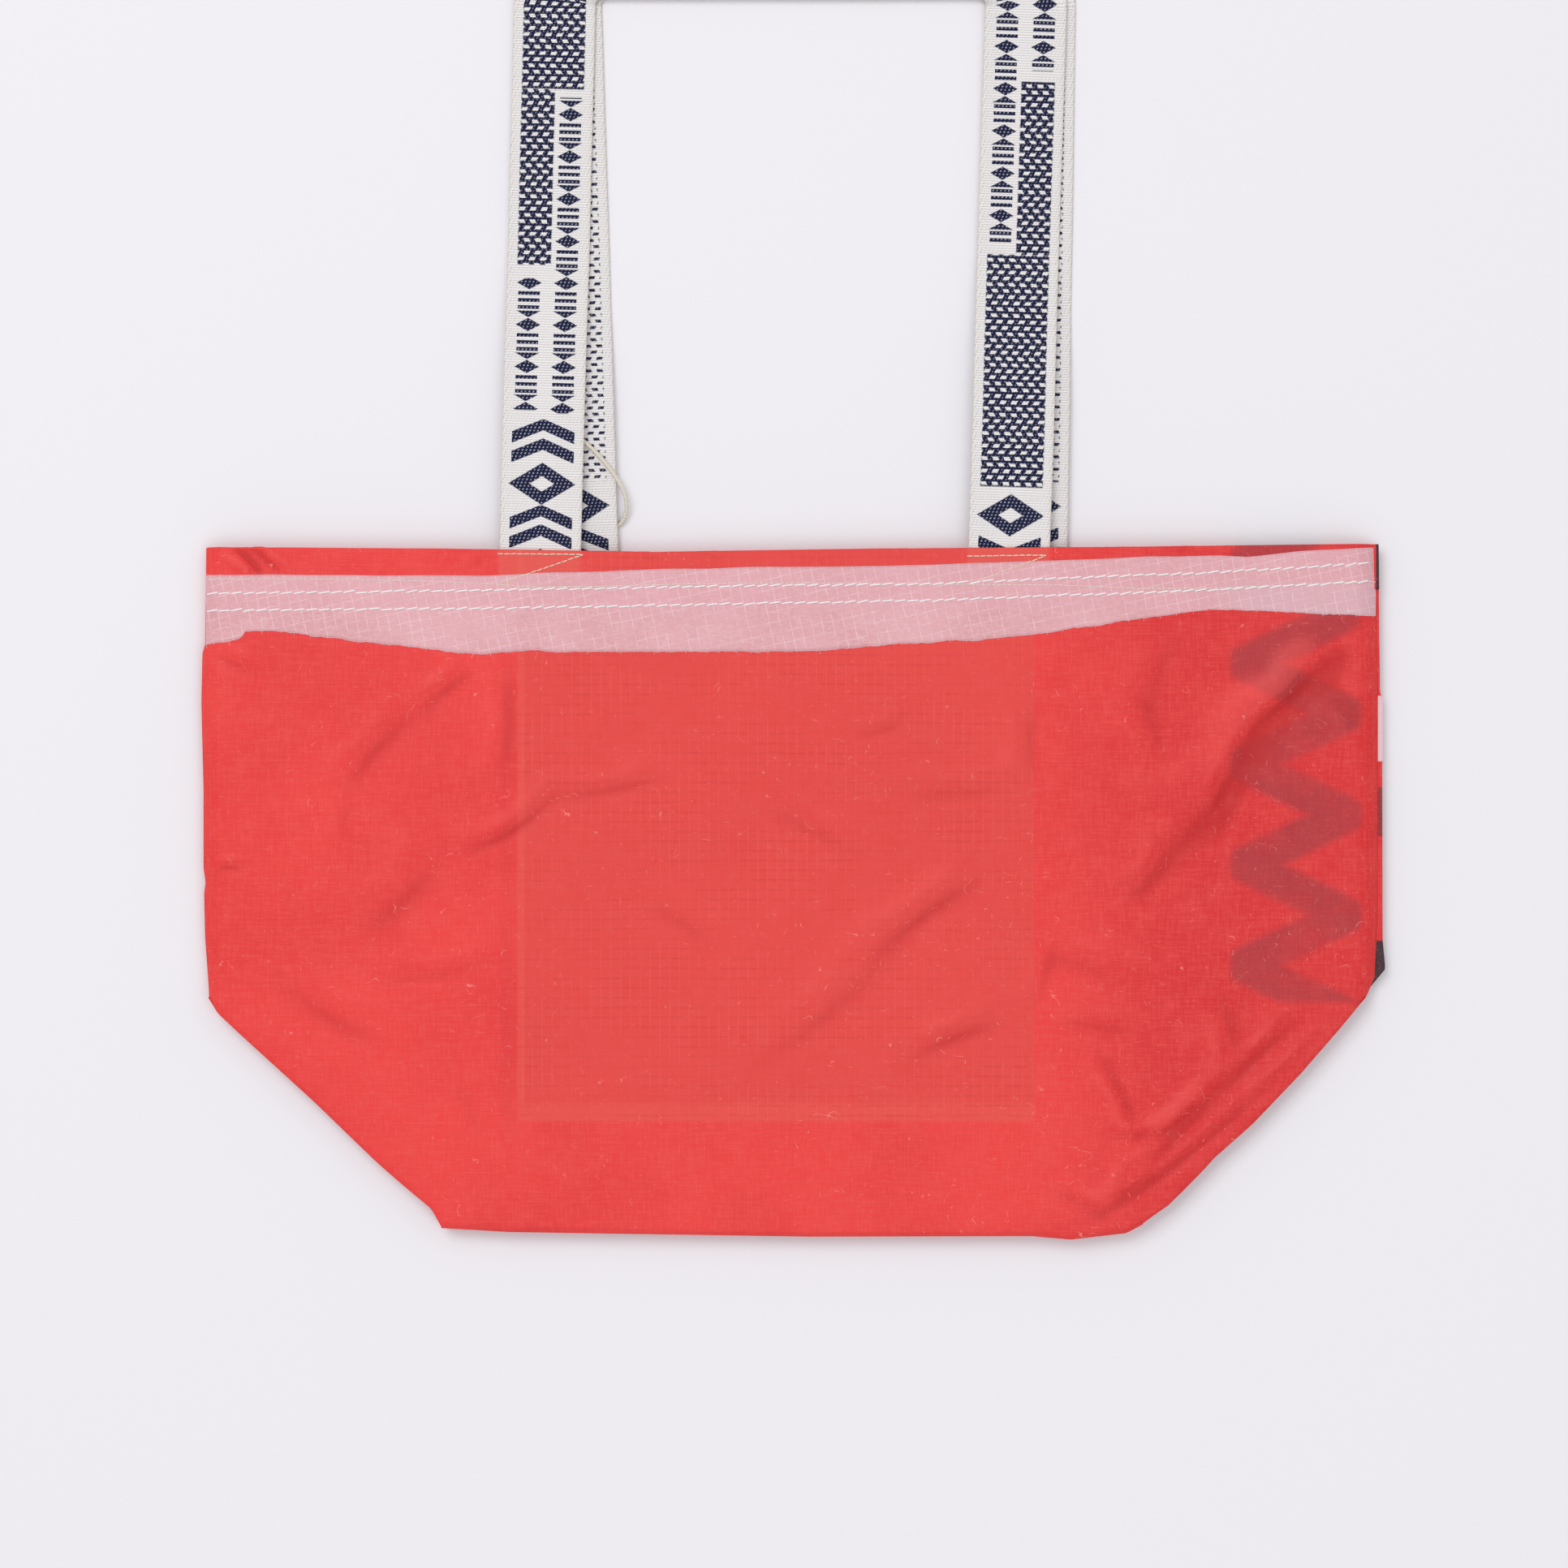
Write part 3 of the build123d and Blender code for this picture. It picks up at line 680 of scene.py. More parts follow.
def small_marks(s):
    """Rows of small marks, full diamonds and pairs of bars in turn: 1 on navy."""
    step = s.y / SMALL_PITCH
    along_mark = (step.fraction() - 0.5) * SMALL_PITCH
    middle = abs(abs(s.x) - 0.0068)
    diamond = (abs(along_mark) / 0.0025 + middle / 0.0046).ramp(0.94, 1.06, 1.0, 0.0)
    bars = abs(abs(along_mark) - 0.0013).ramp(0.00062, 0.00074, 1.0, 0.0) * middle.below(0.0040)
    return in_turn(step / 3, diamond, bars)


def bold_marks(s, start):
    """Large diamonds and chevrons one after another from start: 1 on navy."""
    step = (s.y - start) / BOLD_PITCH
    along_mark = (step.fraction() - 0.5) * BOLD_PITCH
    ragged = (s.noise(0.0010, 1.0) - 0.5) * 0.05
    across = abs(s.x)
    diamond = (abs(along_mark) / 0.0078 + across / 0.0124 + ragged).inside(0.36, 1.0, 0.03)
    climb = along_mark + across * 0.42 - 0.0024
    chevron = abs(abs(climb) - 0.0036).ramp(0.0020, 0.0023, 1.0, 0.0) * across.below(PATTERN_OUTER)
    return in_turn(step / 2, diamond, chevron).least(1.0)


def woven_tape(name, lattice_areas, mark_areas, bold_runs, dotted=False):
    """Ribbed cream tape with a navy woven pattern in the given areas and runs of its length."""
    s = Surface(name, roughness=0.75)
    pattern = blocks(s, 0.54, 0.48) if dotted else blocks(s, 0.52, 0.55) * -1 + 1
    lattice = rectangles(s, lattice_areas)
    navy = pattern * lattice
    if mark_areas:
        navy = navy.most(small_marks(s) * rectangles(s, mark_areas))
    for low_y, high_y in bold_runs:
        navy = navy.most(bold_marks(s, low_y) * s.y.inside(low_y, high_y, 0.0002))
    navy = navy.least(1.0)
    rib = abs((s.y / RIB_PITCH).fraction() - 0.5) * 2
    # Painted shade in the grooves between the tape's ribs.
    cream = s.mix(rib.ramp(0.10, 0.55), CREAM_GROOVE_PAINTED_SHADE, CREAM_RIB)
    cream = s.mix(s.noise(0.015, 2.0).ramp(0.3, 0.7) * 0.4, cream, CREAM_PATCHES)
    cream = s.mix(abs(s.x).ramp(0.0138, 0.0143) * 0.7, cream, CREAM_SELVEDGE)
    dot_x = abs(((s.x - s.y * 0.36) / 0.00145).fraction() - 0.5).ramp(0.15, 0.24, 1.0, 0.0)
    dot_y = abs((s.y / 0.00120).fraction() - 0.5).ramp(0.20, 0.30, 1.0, 0.0)
    flecks = dot_x * dot_y * s.noise(0.0016, 1.0, offset=2.0).ramp(0.30, 0.50)
    flecks = flecks * (lattice * -0.55 + 1)
    s.colour(s.mix(navy, cream, s.mix(flecks * 0.62, NAVY, NAVY_FLECKS)))
    height = rib * 0.6 + navy * 0.25 + flecks * 0.5 + s.noise(0.0005, 2.0) * 0.3
    s.bump(height, 0.00016, 0.9)
    s.specular(0.10)
    return s.material


def thread_material(name, colour, twist=0.0006):
    """Sewing thread or cord, with its twist as fine slanting lines of painted shade."""
    s = Surface(name, roughness=0.6)
    slant = abs(((s.x + s.y) / twist).fraction() - 0.5) * 2
    # Painted shade in the grooves of the thread's twist.
    painted_twist_shade = tuple(0.86 * c for c in colour)
    s.colour(s.mix(slant.ramp(0.0, 0.5), painted_twist_shade, colour))
    s.bump(slant, twist / 6, 0.8)
    s.sheen(0.2)
    return s.material


# --- Cloth shapes -------------------------------------------------------------------------


def graded(low, high, step, fine):
    """Positions from low to high, about step apart, and closer near both ends."""
    near = [0.0, 0.15, 0.4, 0.8, 1.4, 2.3, 3.5, 5.0]
    ends = np.array(near) * fine
    middle = np.linspace(low + ends[-1] + step, high - ends[-1] - step,
                         round((high - low - 2 * ends[-1] - 2 * step) / step))
    return np.concatenate([low + ends, middle, high - ends[::-1]])


def edge_height(y, seam, slant):
    """Height of the side edges at each y: the slanting fold low down, then the meeting edges."""
    share = smooth(y, CORNER_Y - 0.006, CORNER_Y + 0.004)
    return slant + (seam - slant) * share


def rounded(inset, reach):
    """From 0 at an edge to 1 further in, as slack cloth rises from a fold."""
    t = np.clip(inset / reach, 0, 1)
    return 1 - (1 - t) ** 2


def spread_across(low_x, high_x, step):
    """x positions from low_x through the bag's middle to high_x, as many on each side."""
    half = graded(0.0, 1.0, step / SIDE_X, FINE_GRID / SIDE_X)
    share = np.concatenate([-half[::-1], half[1:]])
    return np.where(share < 0, -share * low_x, share * high_x)


def panel_plan(left, right):
    """The x and y of a panel's grid, from the bottom edge to the mouth."""
    rows = graded(BOTTOM_Y, MOUTH_Y, GRID, FINE_GRID)
    low_x, high_x = along(left, rows)[:, None], along(right, rows)[:, None]
    x = spread_across(low_x, high_x, GRID)
    y = rows[:, None] + np.zeros_like(x)
    bottom = (along(BOTTOM_EDGE, x) - BOTTOM_Y) * (1 - smooth(y, BOTTOM_Y, BOTTOM_Y + 0.030))
    mouth = (along(MOUTH_EDGE, x) - MOUTH_Y) * smooth(y, MOUTH_Y - 0.030, MOUTH_Y)
    return x, y + bottom + mouth, low_x, high_x


def rolled_edges(x, y, inset, lying, seam, slant, base, reach):
    """A panel's height, rolling over at its edges, and a measure from 0 there to 1 further in."""
    slanting = y < CORNER_Y
    inset = np.where(slanting, inset * SLANT_SHARE, inset)
    edge = edge_height(y, seam, slant)
    z = edge + (lying - edge) * rounded(inset, np.where(slanting, SLANT_ROLL, reach))
    low = base + (z - base) * rounded(y - along(BOTTOM_EDGE, x), BOTTOM_ROLL)
    turned = np.minimum(z, low) if lying > base else np.maximum(z, low)
    z = np.where(y < BOTTOM_Y + 0.004, turned, z)
    calm = smooth(inset, 0.0005, 0.0080) * smooth(y, BOTTOM_Y, BOTTOM_Y + 0.006)
    return z, calm


def front_points():
    """The front cloth's outer surface: flat with wrinkles, and rolling down at its edges."""
    x, y, low_x, high_x = panel_plan(LEFT_EDGE, RIGHT_EDGE)
    inset = np.minimum(x - low_x, high_x - x)
    z, calm = rolled_edges(x, y, inset, CLOTH_Z, SEAM_Z, SLANT_Z, BASE_Z, 0.0085)
    under_band = 1 - 0.80 * smooth(y, 0.088, 0.098) * (1 - smooth(y, 0.1155, 0.1185))
    wrinkles, painted_fold_shade = valleys(x, y, FRONT_VALLEYS)
    broad = ripple(x, y, 0.070, 1.0) * 0.0006
    small = ripple(x + 0.3 * y, y - 0.2 * x, 0.018, 2.0) * 0.00025
    loose = smooth(x, 0.070, 0.140) * 0.75 + smooth(-x, 0.100, 0.160) * 0.35 + 0.20
    loose = loose * smooth(ripple(x, y, 0.055, 5.0), -0.25, 0.30)
    creases = crumple(x, y, 0.024, 3.0) * 0.00040 + crumple(x, y, 0.011, 9.0) * 0.00013
    relief = (wrinkles + broad + small + creases * loose) * calm * under_band
    free = smooth(x, 0.100, 0.125) * smooth(y, -0.034, -0.020)
    z = z + np.maximum(relief, -0.0007 - 0.0022 * free)
    # Painted shade for the colour: dark in the valleys and along the crumpled creases, light on
    # the ridges.
    shade = painted_fold_shade * calm * under_band + creases * loose * calm * 0.25
    return np.stack([x, y, z], axis=-1), shade


def back_points():
    """The back cloth's outer surface, which lies on the table and rises at its edges."""
    x, y, low_x, high_x = panel_plan(BACK_LEFT_EDGE, BACK_RIGHT_EDGE)
    lip = 0.0034 * smooth(y, CORNER_Y, CORNER_Y + 0.004)
    inset = np.minimum(x - low_x, np.maximum(high_x - x - lip, 0))
    z, calm = rolled_edges(x, y, inset, BACK_Z, BACK_SEAM_Z, BACK_SLANT_Z, BACK_BASE_Z, 0.0070)
    calm = calm * (1 - 0.85 * smooth(y, 0.095, 0.110))
    wrinkles, painted_fold_shade = valleys(x, y, BACK_VALLEYS)
    relief = ripple(x, y, 0.050, 11.0) * 0.0003 - wrinkles
    relief = relief + crumple(x, y, 0.026, 12.0) * 0.00018
    z = z + np.maximum(relief, -0.0001) * calm
    # The returned shade is painted shade for the colour, from the valleys.
    return np.stack([x, y, z], axis=-1), painted_fold_shade * calm * 0.5


def unit(vectors):
    """The vectors, each made one long."""
    return vectors / np.maximum(np.linalg.norm(vectors, axis=-1, keepdims=True), 1e-12)


def normals_of(points):
    """Unit normals of a grid of points."""
    return unit(np.cross(np.gradient(points, axis=1), np.gradient(points, axis=0)))


def with_hem(points, shade, inward):
    """A panel's points and shade, carried over the mouth and down inside as its turned-in hem."""
    normal = normals_of(points) * inward
    top, top_normal = points[-1], normal[-1]
    up = np.array([0.0, 1.0, 0.0])
    turns = np.linspace(0, np.pi, 9)[1:-1]
    radius = HEM_GAP / 2
    roll = []
    for a in turns:
        roll.append(top + top_normal * radius * (1 - math.cos(a)) + up * radius * math.sin(a))
    inside = points[:, :, 1].mean(axis=1) > HEM_Y
    hem = (points + normal * HEM_GAP)[inside][::-1]
    plain = np.zeros((len(roll) + len(hem), shade.shape[1]))
    return np.concatenate([points, np.array(roll), hem]), np.concatenate([shade, plain])


def flat_plan(points):
    """Coordinates for a panel's material: x and y as it lies, and past the mouth for its hem."""
    rest = points.copy()
    steps = np.diff(rest, axis=0, prepend=rest[:1])
    past = np.argmax(rest[:, :, 1].mean(axis=1))
    for row in range(past + 1, len(rest)):
        rest[row, :, 1] = rest[row - 1, :, 1] + np.abs(steps[row, :, 1]) + 1e-6
    return rest


def side_pieces(name, points, shade, material, body):
    """Two cloth pieces, left and right of the bag's middle, each curving over from a panel to its
    side.
    """
    made = []
    rest = flat_plan(points)
    for side, part in halves_of(points).items():
        piece = cloth_sheet(f"{name}_{side}", points[:, part], CLOTH, material, rest[:, part],
                            shade[:, part])
        bend_at_fold(piece)
        made.append(piece)
    return made


def halves_of(points):
    """The columns of a grid that lie left and right of the bag's middle."""
    middle = points.shape[1] // 2
    return {"left": slice(0, middle + 1), "right": slice(middle, None)}


def bend_at_fold(piece):
    """The piece's transform, baked into its mesh."""
    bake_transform(piece)


class Ground:
    """A surface to lay things on: points above or below it at a given x and y."""

    def __init__(self, points):
        vertices = [Vector(p) for p in points.reshape(-1, 3)]
        self.tree = BVHTree.FromPolygons(vertices, grid_faces(points)[1].tolist())

    def at(self, x, y, lift):
        """The point lift above the surface, along its normal, or below it if lift is negative."""
        place, normal, _, _ = self.tree.ray_cast(Vector((x, y, 0.05)), Vector((0, 0, -1)))
        if place is None:
            place, normal, _, _ = self.tree.find_nearest(Vector((x, y, MIDDLE_Z)))
        if normal.z < 0:
            normal = -normal
        return np.array(place + normal * lift)


def distances(path):
    """How far along a path each of its points lies."""
    return np.concatenate([[0], np.cumsum(np.linalg.norm(np.diff(path, axis=0), axis=1))])


def rings_faces(rings, sides):
    """Faces of a closed tube made of rings of points, with both ends capped."""
    faces = []
    for first in range(0, (rings - 1) * sides, sides):
        for step in range(sides):
            a, b = first + step, first + (step + 1) % sides
            faces.append((a, b, b + sides, a + sides))
    faces.append(tuple(range(sides))[::-1])
    faces.append(tuple(range((rings - 1) * sides, rings * sides)))
    return faces


def tube(points, radius, sides=6, twist=0.0, plies=0):
    """Vertices and faces of a closed tube along a path. plies and twist make it a twisted yarn."""
    path = np.array(points, float)
    along_path = unit(np.gradient(path, axis=0))
    side = unit(np.cross(along_path, (0.0, 0.0, 1.0)))
    upward = np.cross(side, along_path)
    lengths = distances(path)
    angles = np.linspace(0, 2 * np.pi, sides, endpoint=False)
    vertices, rest = [], []
    for place, across, up, length in zip(path, side, upward, lengths):
        turn = 0 if not twist else length / twist * 2 * np.pi
        for angle in angles:
            size = radius
            if plies:
                size = radius * (0.80 + 0.20 * abs(math.cos((angle - turn) * plies / 2)))
            vertices.append(place + (across * math.cos(angle) + up * math.sin(angle)) * size)
            rest.append((radius * angle, length, 0.0))
    return vertices, [(face[0], *face[:0:-1]) for face in rings_faces(len(path), sides)], rest


def joined(name, parts, material):
    """One mesh object from several (vertices, faces, coordinates)."""
    vertices, faces, rest = [], [], []
    for part_vertices, part_faces, part_rest in parts:
        offset = len(vertices)
        vertices += list(part_vertices)
        faces += [tuple(i + offset for i in face) for face in part_faces]
        rest += list(part_rest)
    return mesh_object(name, np.array(vertices), faces, material, np.array(rest))


def stitch(ground, start, end, radius, base_lift, side=1):
    """One stitch of thread: down into the cloth at each end, and lying on it between."""
    shares = np.linspace(0, 1, 7)
    path = []
    for t in shares:
        x = start[0] + (end[0] - start[0]) * t
        y = start[1] + (end[1] - start[1]) * t
        lift = (base_lift + radius * (1.35 * max(0, math.sin(math.pi * t)) ** 0.5 - 0.9)) * side
        path.append(ground.at(x, y, lift))
    return tube(path, radius, twist=0.0012, plies=3)


def slanted_row(line, seed):
    """A row of long slanting stitches across the band."""
    rng = np.random.default_rng(seed)
    parts = []
    for x in np.arange(STITCH_LOW, STITCH_HIGH - SLANTED_LENGTH, SLANTED_PITCH):
        wander = rng.normal(0, 0.00012)
        tilt = SLANTED_RISE * (1 + 0.3 * rng.normal())
        end_x = x + SLANTED_LENGTH
        first = (x, float(along(line, x)) - tilt / 2 + wander)
        last = (end_x, float(along(line, end_x)) + tilt / 2 + wander)
        parts.append((x, stitch(front_ground, first, last, SLANTED_THREAD, OVER_BAND)))
    return parts


def straight_row(ground, points, pitch, radius, lift, seed, side=1):
    """Short stitches along a line of (x, y) points."""
    rng = np.random.default_rng(seed)
    corners = np.array(points)
    lengths = distances(corners)
    places = np.arange(0, lengths[-1] - pitch * 0.6, pitch)
    parts = []
    for place in places:
        ends = []
        for distance in (place + pitch * 0.10, place + pitch * 0.92):
            x = np.interp(distance, lengths, corners[:, 0]) + rng.normal(0, 0.00003)
            y = np.interp(distance, lengths, corners[:, 1]) + rng.normal(0, 0.00006)
            ends.append((x, y))
        parts.append((ends[0][0], stitch(ground, *ends, radius, lift, side)))
    return parts


def back_row(points, seed):
    """Short stitches on the back cloth's outer side."""
    thread = BACK_THREAD_RADIUS
    return straight_row(back_ground, points, BACK_PITCH, thread, CLOTH / 2, seed, side=-1)


def row_pieces(name, parts, material):
    """Stitches as two pieces, left and right of the middle."""
    made = []
    for side, chosen in (("left", lambda x: x < 0), ("right", lambda x: x >= 0)):
        piece = joined(f"{name}_{side}", [part for x, part in parts if chosen(x)], material)
        bend_at_fold(piece)
        made.append(piece)
    return made


# --- Parts --------------------------------------------------------------------------------


def panels(front_material, back_material):
    """The front and back cloth with their hems and sides."""
    front = with_hem(front_outer, front_shade, -1)
    back = with_hem(back_outer, back_shade, 1)
    made = side_pieces("front_cloth", *front, front_material, "front")
    made += side_pieces("back_cloth", *back, back_material, "back")
    for piece in made:
        body, _, side = piece.name.split("_")
        half = f"{body}_{side}"
        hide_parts(f"{body}_panel", f"{body}_hem", f"{half}_side", f"{half}_hem")
    return made


def base(material):
    """The base, folded up inside, and the two folds that join it to the panels."""
    half = FOLD_X - 0.0004  # clear of the tucks beside it
    low_y = BOTTOM_Y + 0.006  # where the bottom folds end
    crease_y = CORNER_Y - 0.0008
    front_z, back_z = (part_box(f"base_{part}_panel")[0].z + 0.0004 for part in ("front", "rear"))
    radius = (front_z - back_z) / 2
    up = np.arange(low_y, crease_y - radius, GRID * 2)
    turn = np.linspace(0, np.pi, 13)[1:-1]
    path = [(y, front_z) for y in up]
    top_y = crease_y - radius
    path += [(top_y + radius * math.sin(a), MIDDLE_Z + radius * math.cos(a)) for a in turn]
    path += [(y, back_z) for y in up[::-1]]
    x = np.linspace(-half, half, 90)
    points = np.array([[(a, y, z) for a in x] for y, z in path])
    wave = ripple(points[..., 0], points[..., 1], 0.030, 21.0) * 0.00025
    points[..., 2] += wave * smooth(points[..., 1], low_y, low_y + 0.01)
    cloth = cloth_sheet("base_cloth", points, CLOTH, material, flat_plan(points))
    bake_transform(cloth)
    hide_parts("base_front_panel", "base_rear_panel")
    bottom_fold("front_bottom_fold", front_outer, front_z, low_y, material, "front", "base_front")
    bottom_fold("back_bottom_fold", back_outer, back_z, low_y, material, "back", "base_rear")


def bottom_fold(name, panel, inner_z, low_y, material, body, base_body):
    """The cloth round the bottom edge, from a panel's lowest row to the base."""
    edge = panel[0, np.abs(panel[0, :, 0]) < FOLD_X - 0.0005]
    strip = [edge, *turned_over(edge, inner_z, 10, body, (0, -0.8))]
    last = strip[-1]
    for share in (0.3, 0.6, 1.0):
        row = last.copy()
        row[:, 1] += (low_y - row[:, 1]) * share
        strip.append(row)
    points = np.array(strip)
    rest = points.copy()
    for row, share in enumerate(np.linspace(0, 1, len(points))):
        rest[row, :, 1] = edge[:, 1] - 0.008 * share
    piece = cloth_sheet(name, points, CLOTH, material, rest)
    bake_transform(piece)
    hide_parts(f"{base_body}_panel")


def turned_over(edge, inner_z, steps, body, outward):
    """Rows that carry an edge half round to inner_z, bulging outward by shares of the radius."""
    radius = np.abs(edge[:, 2] - inner_z) / 2
    away = 1 if body == "front" else -1
    rows = []
    for a in np.linspace(0, np.pi, steps + 1)[1:]:
        row = edge.copy()
        row[:, 0] += radius * outward[0] * math.sin(a)
        row[:, 1] += radius * outward[1] * math.sin(a)
        row[:, 2] = (edge[:, 2] + inner_z) / 2 + away * radius * math.cos(a)
        rows.append(row)
    return rows


def tucks(material):
    """The four corner tucks, folded in behind the slanting edges."""
    for body, panel in (("front", front_outer), ("back", back_outer)):
        for side, sign in (("left", -1), ("right", 1)):
            tuck(f"{body}_{side}_tuck", panel, sign, body, material)


def slanting_edge(panel, sign):
    """The slanting edge of a panel, from its side fold up to the corner."""
    outline = panel[:, 0 if sign < 0 else -1]
    slant = outline[outline[:, 1] < CORNER_Y + 0.002]
    low_x, high_y = FOLD_X + 0.0003, CORNER_Y - 0.0001
    first = [np.interp(low_x, np.abs(slant[:, 0]), slant[:, i]) for i in range(3)]
    last = [np.interp(high_y, slant[:, 1], slant[:, i]) for i in range(3)]
    between = (np.abs(slant[:, 0]) > low_x + 0.0003) & (slant[:, 1] < high_y - 0.0003)
    return np.array([first, *slant[between], last])


def tuck(name, panel, sign, body, material):
    """One corner tuck, from the slanting edge of a panel in towards its side fold."""
    edge = slanting_edge(panel, sign)
    low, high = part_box(name)
    inner_z = (low.z + high.z) / 2
    low_y, high_y = edge[0, 1], edge[-1, 1]
    bulge = 0.7 * smooth(edge[:, 1], low_y, low_y + 0.012)
    bulge = bulge * (1 - smooth(edge[:, 1], high_y - 0.014, high_y))
    columns = [edge, *turned_over(edge, inner_z, 6, body, (sign * bulge, -bulge))]
    last = columns[-1]
    inner_x = sign * (FOLD_X - 0.0013)
    for share in np.linspace(0, 1, 24)[1:]:
        row = last.copy()
        row[:, 0] += (inner_x - row[:, 0]) * share
        row[:, 2] += ripple(row[:, 0], row[:, 1], 0.02, 31.0) * 0.00003 * share
        columns.append(row)
    piece = cloth_sheet(name + "_cloth", np.stack(columns, axis=1), CLOTH, material)
    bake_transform(piece)
    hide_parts(name)


def side_seams(material):
    """The seam allowances inside the two side edges, each of two layers."""
    for side, sign in (("left", -1), ("right", 1)):
        low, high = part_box(f"{side}_side_seam")
        y = np.linspace(low.y + 0.004, high.y, 100)
        outline = along(LEFT_EDGE if sign < 0 else RIGHT_EDGE, y)
        columns = []
        for inset in np.linspace(0.0014, 0.0092, 6):
            z = MIDDLE_Z + 0.0003 + ripple(y, y * 0 + inset, 0.02, 41.0) * 0.00005
            columns.append(np.stack([outline - sign * inset, y, z], axis=-1))
        points = np.stack(columns, axis=1)
        piece = cloth_sheet(f"{side}_seam_allowance", points, CLOTH * 2, material)
        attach(piece, f"back_{side}_side")
        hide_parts(f"{side}_side_seam")


def pocket(material):
    """The two layers of the flat pocket, hanging inside the front."""
    for node, seed in (("pocket_inner_layer", 51.0), ("pocket_outer_layer", 52.0)):
        low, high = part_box(node)
        x, y = np.meshgrid(np.linspace(low.x, high.x, 110), np.linspace(low.y, high.y, 110))
        z = (low.z + high.z) / 2 + ripple(x, y, 0.040, seed) * 0.00012
        points = np.stack([x, y, z], axis=-1)
        piece = cloth_sheet(node.replace("layer", "cloth"), points, CLOTH, material)
        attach(piece, "front")
        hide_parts(node)


def band_points():
    """The band's grid on the front cloth, its flat coordinates, and its lower edge's x and y."""
    x_low, x_high = float(along(LEFT_EDGE, 0.105)), float(along(RIGHT_EDGE, 0.105))
    x = spread_across(x_low + 0.0002, x_high - 0.0002, 0.0012)
    fray = cut_edge.normal(0, 0.00010, len(x))
    lower = along(BAND_LOWER, x) + ripple(x, x * 0, 0.009, 61.0) * 0.0007 + fray
    upper = along(BAND_UPPER, x) + ripple(x, x * 0, 0.020, 62.0) * 0.0004
    y = lower + (upper - lower) * np.linspace(0, 1, 22)[:, None]
    lift = BAND_LIFT + ripple(x + 0 * y, y, 0.012, 63.0) * 0.00003
    points = [[front_ground.at(*place) for place in zip(x, *row)] for row in zip(y, lift)]
    rest = np.array(points)
    rest[..., 2] = y - lower
    return np.array(points), rest, x, lower


def band(material):
    """The pale band sewn over the front below the mouth, with its cut, slightly frayed edge."""
    points, rest, x, lower = band_points()
    for side, part in halves_of(points).items():
        grid, flat = points[:, part], rest[:, part]
        piece = cloth_sheet(f"band_{side}", grid, BAND_THICKNESS, material, flat)
        bend_at_fold(piece)
        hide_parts("front_band", f"front_{side}_band")
    for piece in row_pieces("band_fray", frayed_threads(x, lower), material):
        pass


def frayed_threads(x, lower):
    """Loose thread ends along the band's cut edge."""
    parts = []
    for place in range(2, len(x) - 2, 5):
        length = 0.0004 + abs(cut_edge.normal(0, 0.0005))
        lean = cut_edge.normal(0, 0.0005)
        start_x, start_y = x[place], lower[place] + 0.0002
        path = []
        for share in (0, 0.5, 1.0):
            place_x, place_y = start_x + lean * share, start_y - length * share
            path.append(front_ground.at(place_x, place_y, BAND_LIFT))
        parts.append((start_x, tube(path, 0.00007, sides=4)))
    return parts


def sewn(name, rows, thread, body, nodes):
    """Rows of stitches as pieces, in place of a panel's nodes of stitching."""
    for piece in row_pieces(name, rows, thread):
        side = piece.name.split("_")[-1]
        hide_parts(f"{body}_{nodes}", f"{body}_{side}_{nodes}")


def stitching(white, cream):
    """The band's two rows of white stitches, and the hems' rows of cream lockstitch."""
    rows = slanted_row(ZIGZAG_UPPER, 1) + slanted_row(ZIGZAG_LOWER, 2)
    sewn("band_stitches", rows, white, "front", "band_stitching")
    rows = straight_row(front_ground, HEM_ROW, HEM_PITCH, HEM_THREAD_RADIUS, OVER_BAND, 3)
    sewn("hem_stitches", rows, cream, "front", "hem_stitching")
    rows = back_row([(STITCH_LOW, HEM_Y + 0.0020), (STITCH_HIGH, HEM_Y + 0.0020)], 4)
    sewn("back_hem_stitches", rows, cream, "back", "hem_stitching")


def handle_stitching(cream):
    """The stitching that holds the handles' ends: along the mouth, then slanting back down."""
    front_lines = [
        [(-0.1084, 0.1248), (-0.0764, 0.1245), (-0.1084, 0.1136)],
        [(0.0641, 0.1239), (0.0939, 0.1243), (0.0642, 0.1134)],
    ]
    front_rows, rear_rows = [], []
    for number, line in enumerate(front_lines):
        front_rows += straight_row(front_ground, line, HANDLE_PITCH, HANDLE_THREAD_RADIUS,
                                   HANDLE_LIFT, 70 + number)
    for number, middle in enumerate((REAR_TAPE_X[0], REAR_TAPE_X[3])):
        line = [(middle - 0.014, 0.1244), (middle + 0.014, 0.1244), (middle - 0.014, 0.1138)]
        rear_rows += back_row(line, 80 + number)
    for handle, body, rows in (("front", "front", front_rows), ("rear", "back", rear_rows)):
        piece = joined(f"{handle}_handle_stitches", [part for _, part in rows], cream)
        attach(piece, body)
        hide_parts(f"{handle}_handle_stitching")


def rounded_path(corners, radius, step):
    """Evenly spaced points along straight runs joined by arcs, and their distances."""
    corners = [np.array(corner, float) for corner in corners]
    points = [corners[0]]
    for before, corner, after in zip(corners, corners[1:], corners[2:]):
        into, out = unit(corner - before), unit(after - corner)
        turn = math.acos(float(np.clip(into @ out, -1, 1)))
        start = corner - into * radius * math.tan(turn / 2)
        inward = np.array([into[1], -into[0]])
        if inward @ out < 0:
            inward = -inward
        for angle in np.linspace(0, turn, 24):
            across = inward * (1 - math.cos(angle))
            points.append(start + (into * math.sin(angle) + across) * radius)
    points = np.array([*points, corners[-1]])
    lengths = distances(points)
    places = np.linspace(0, lengths[-1], round(lengths[-1] / step))
    return np.stack([np.interp(places, lengths, points[:, i]) for i in range(2)], axis=1), places


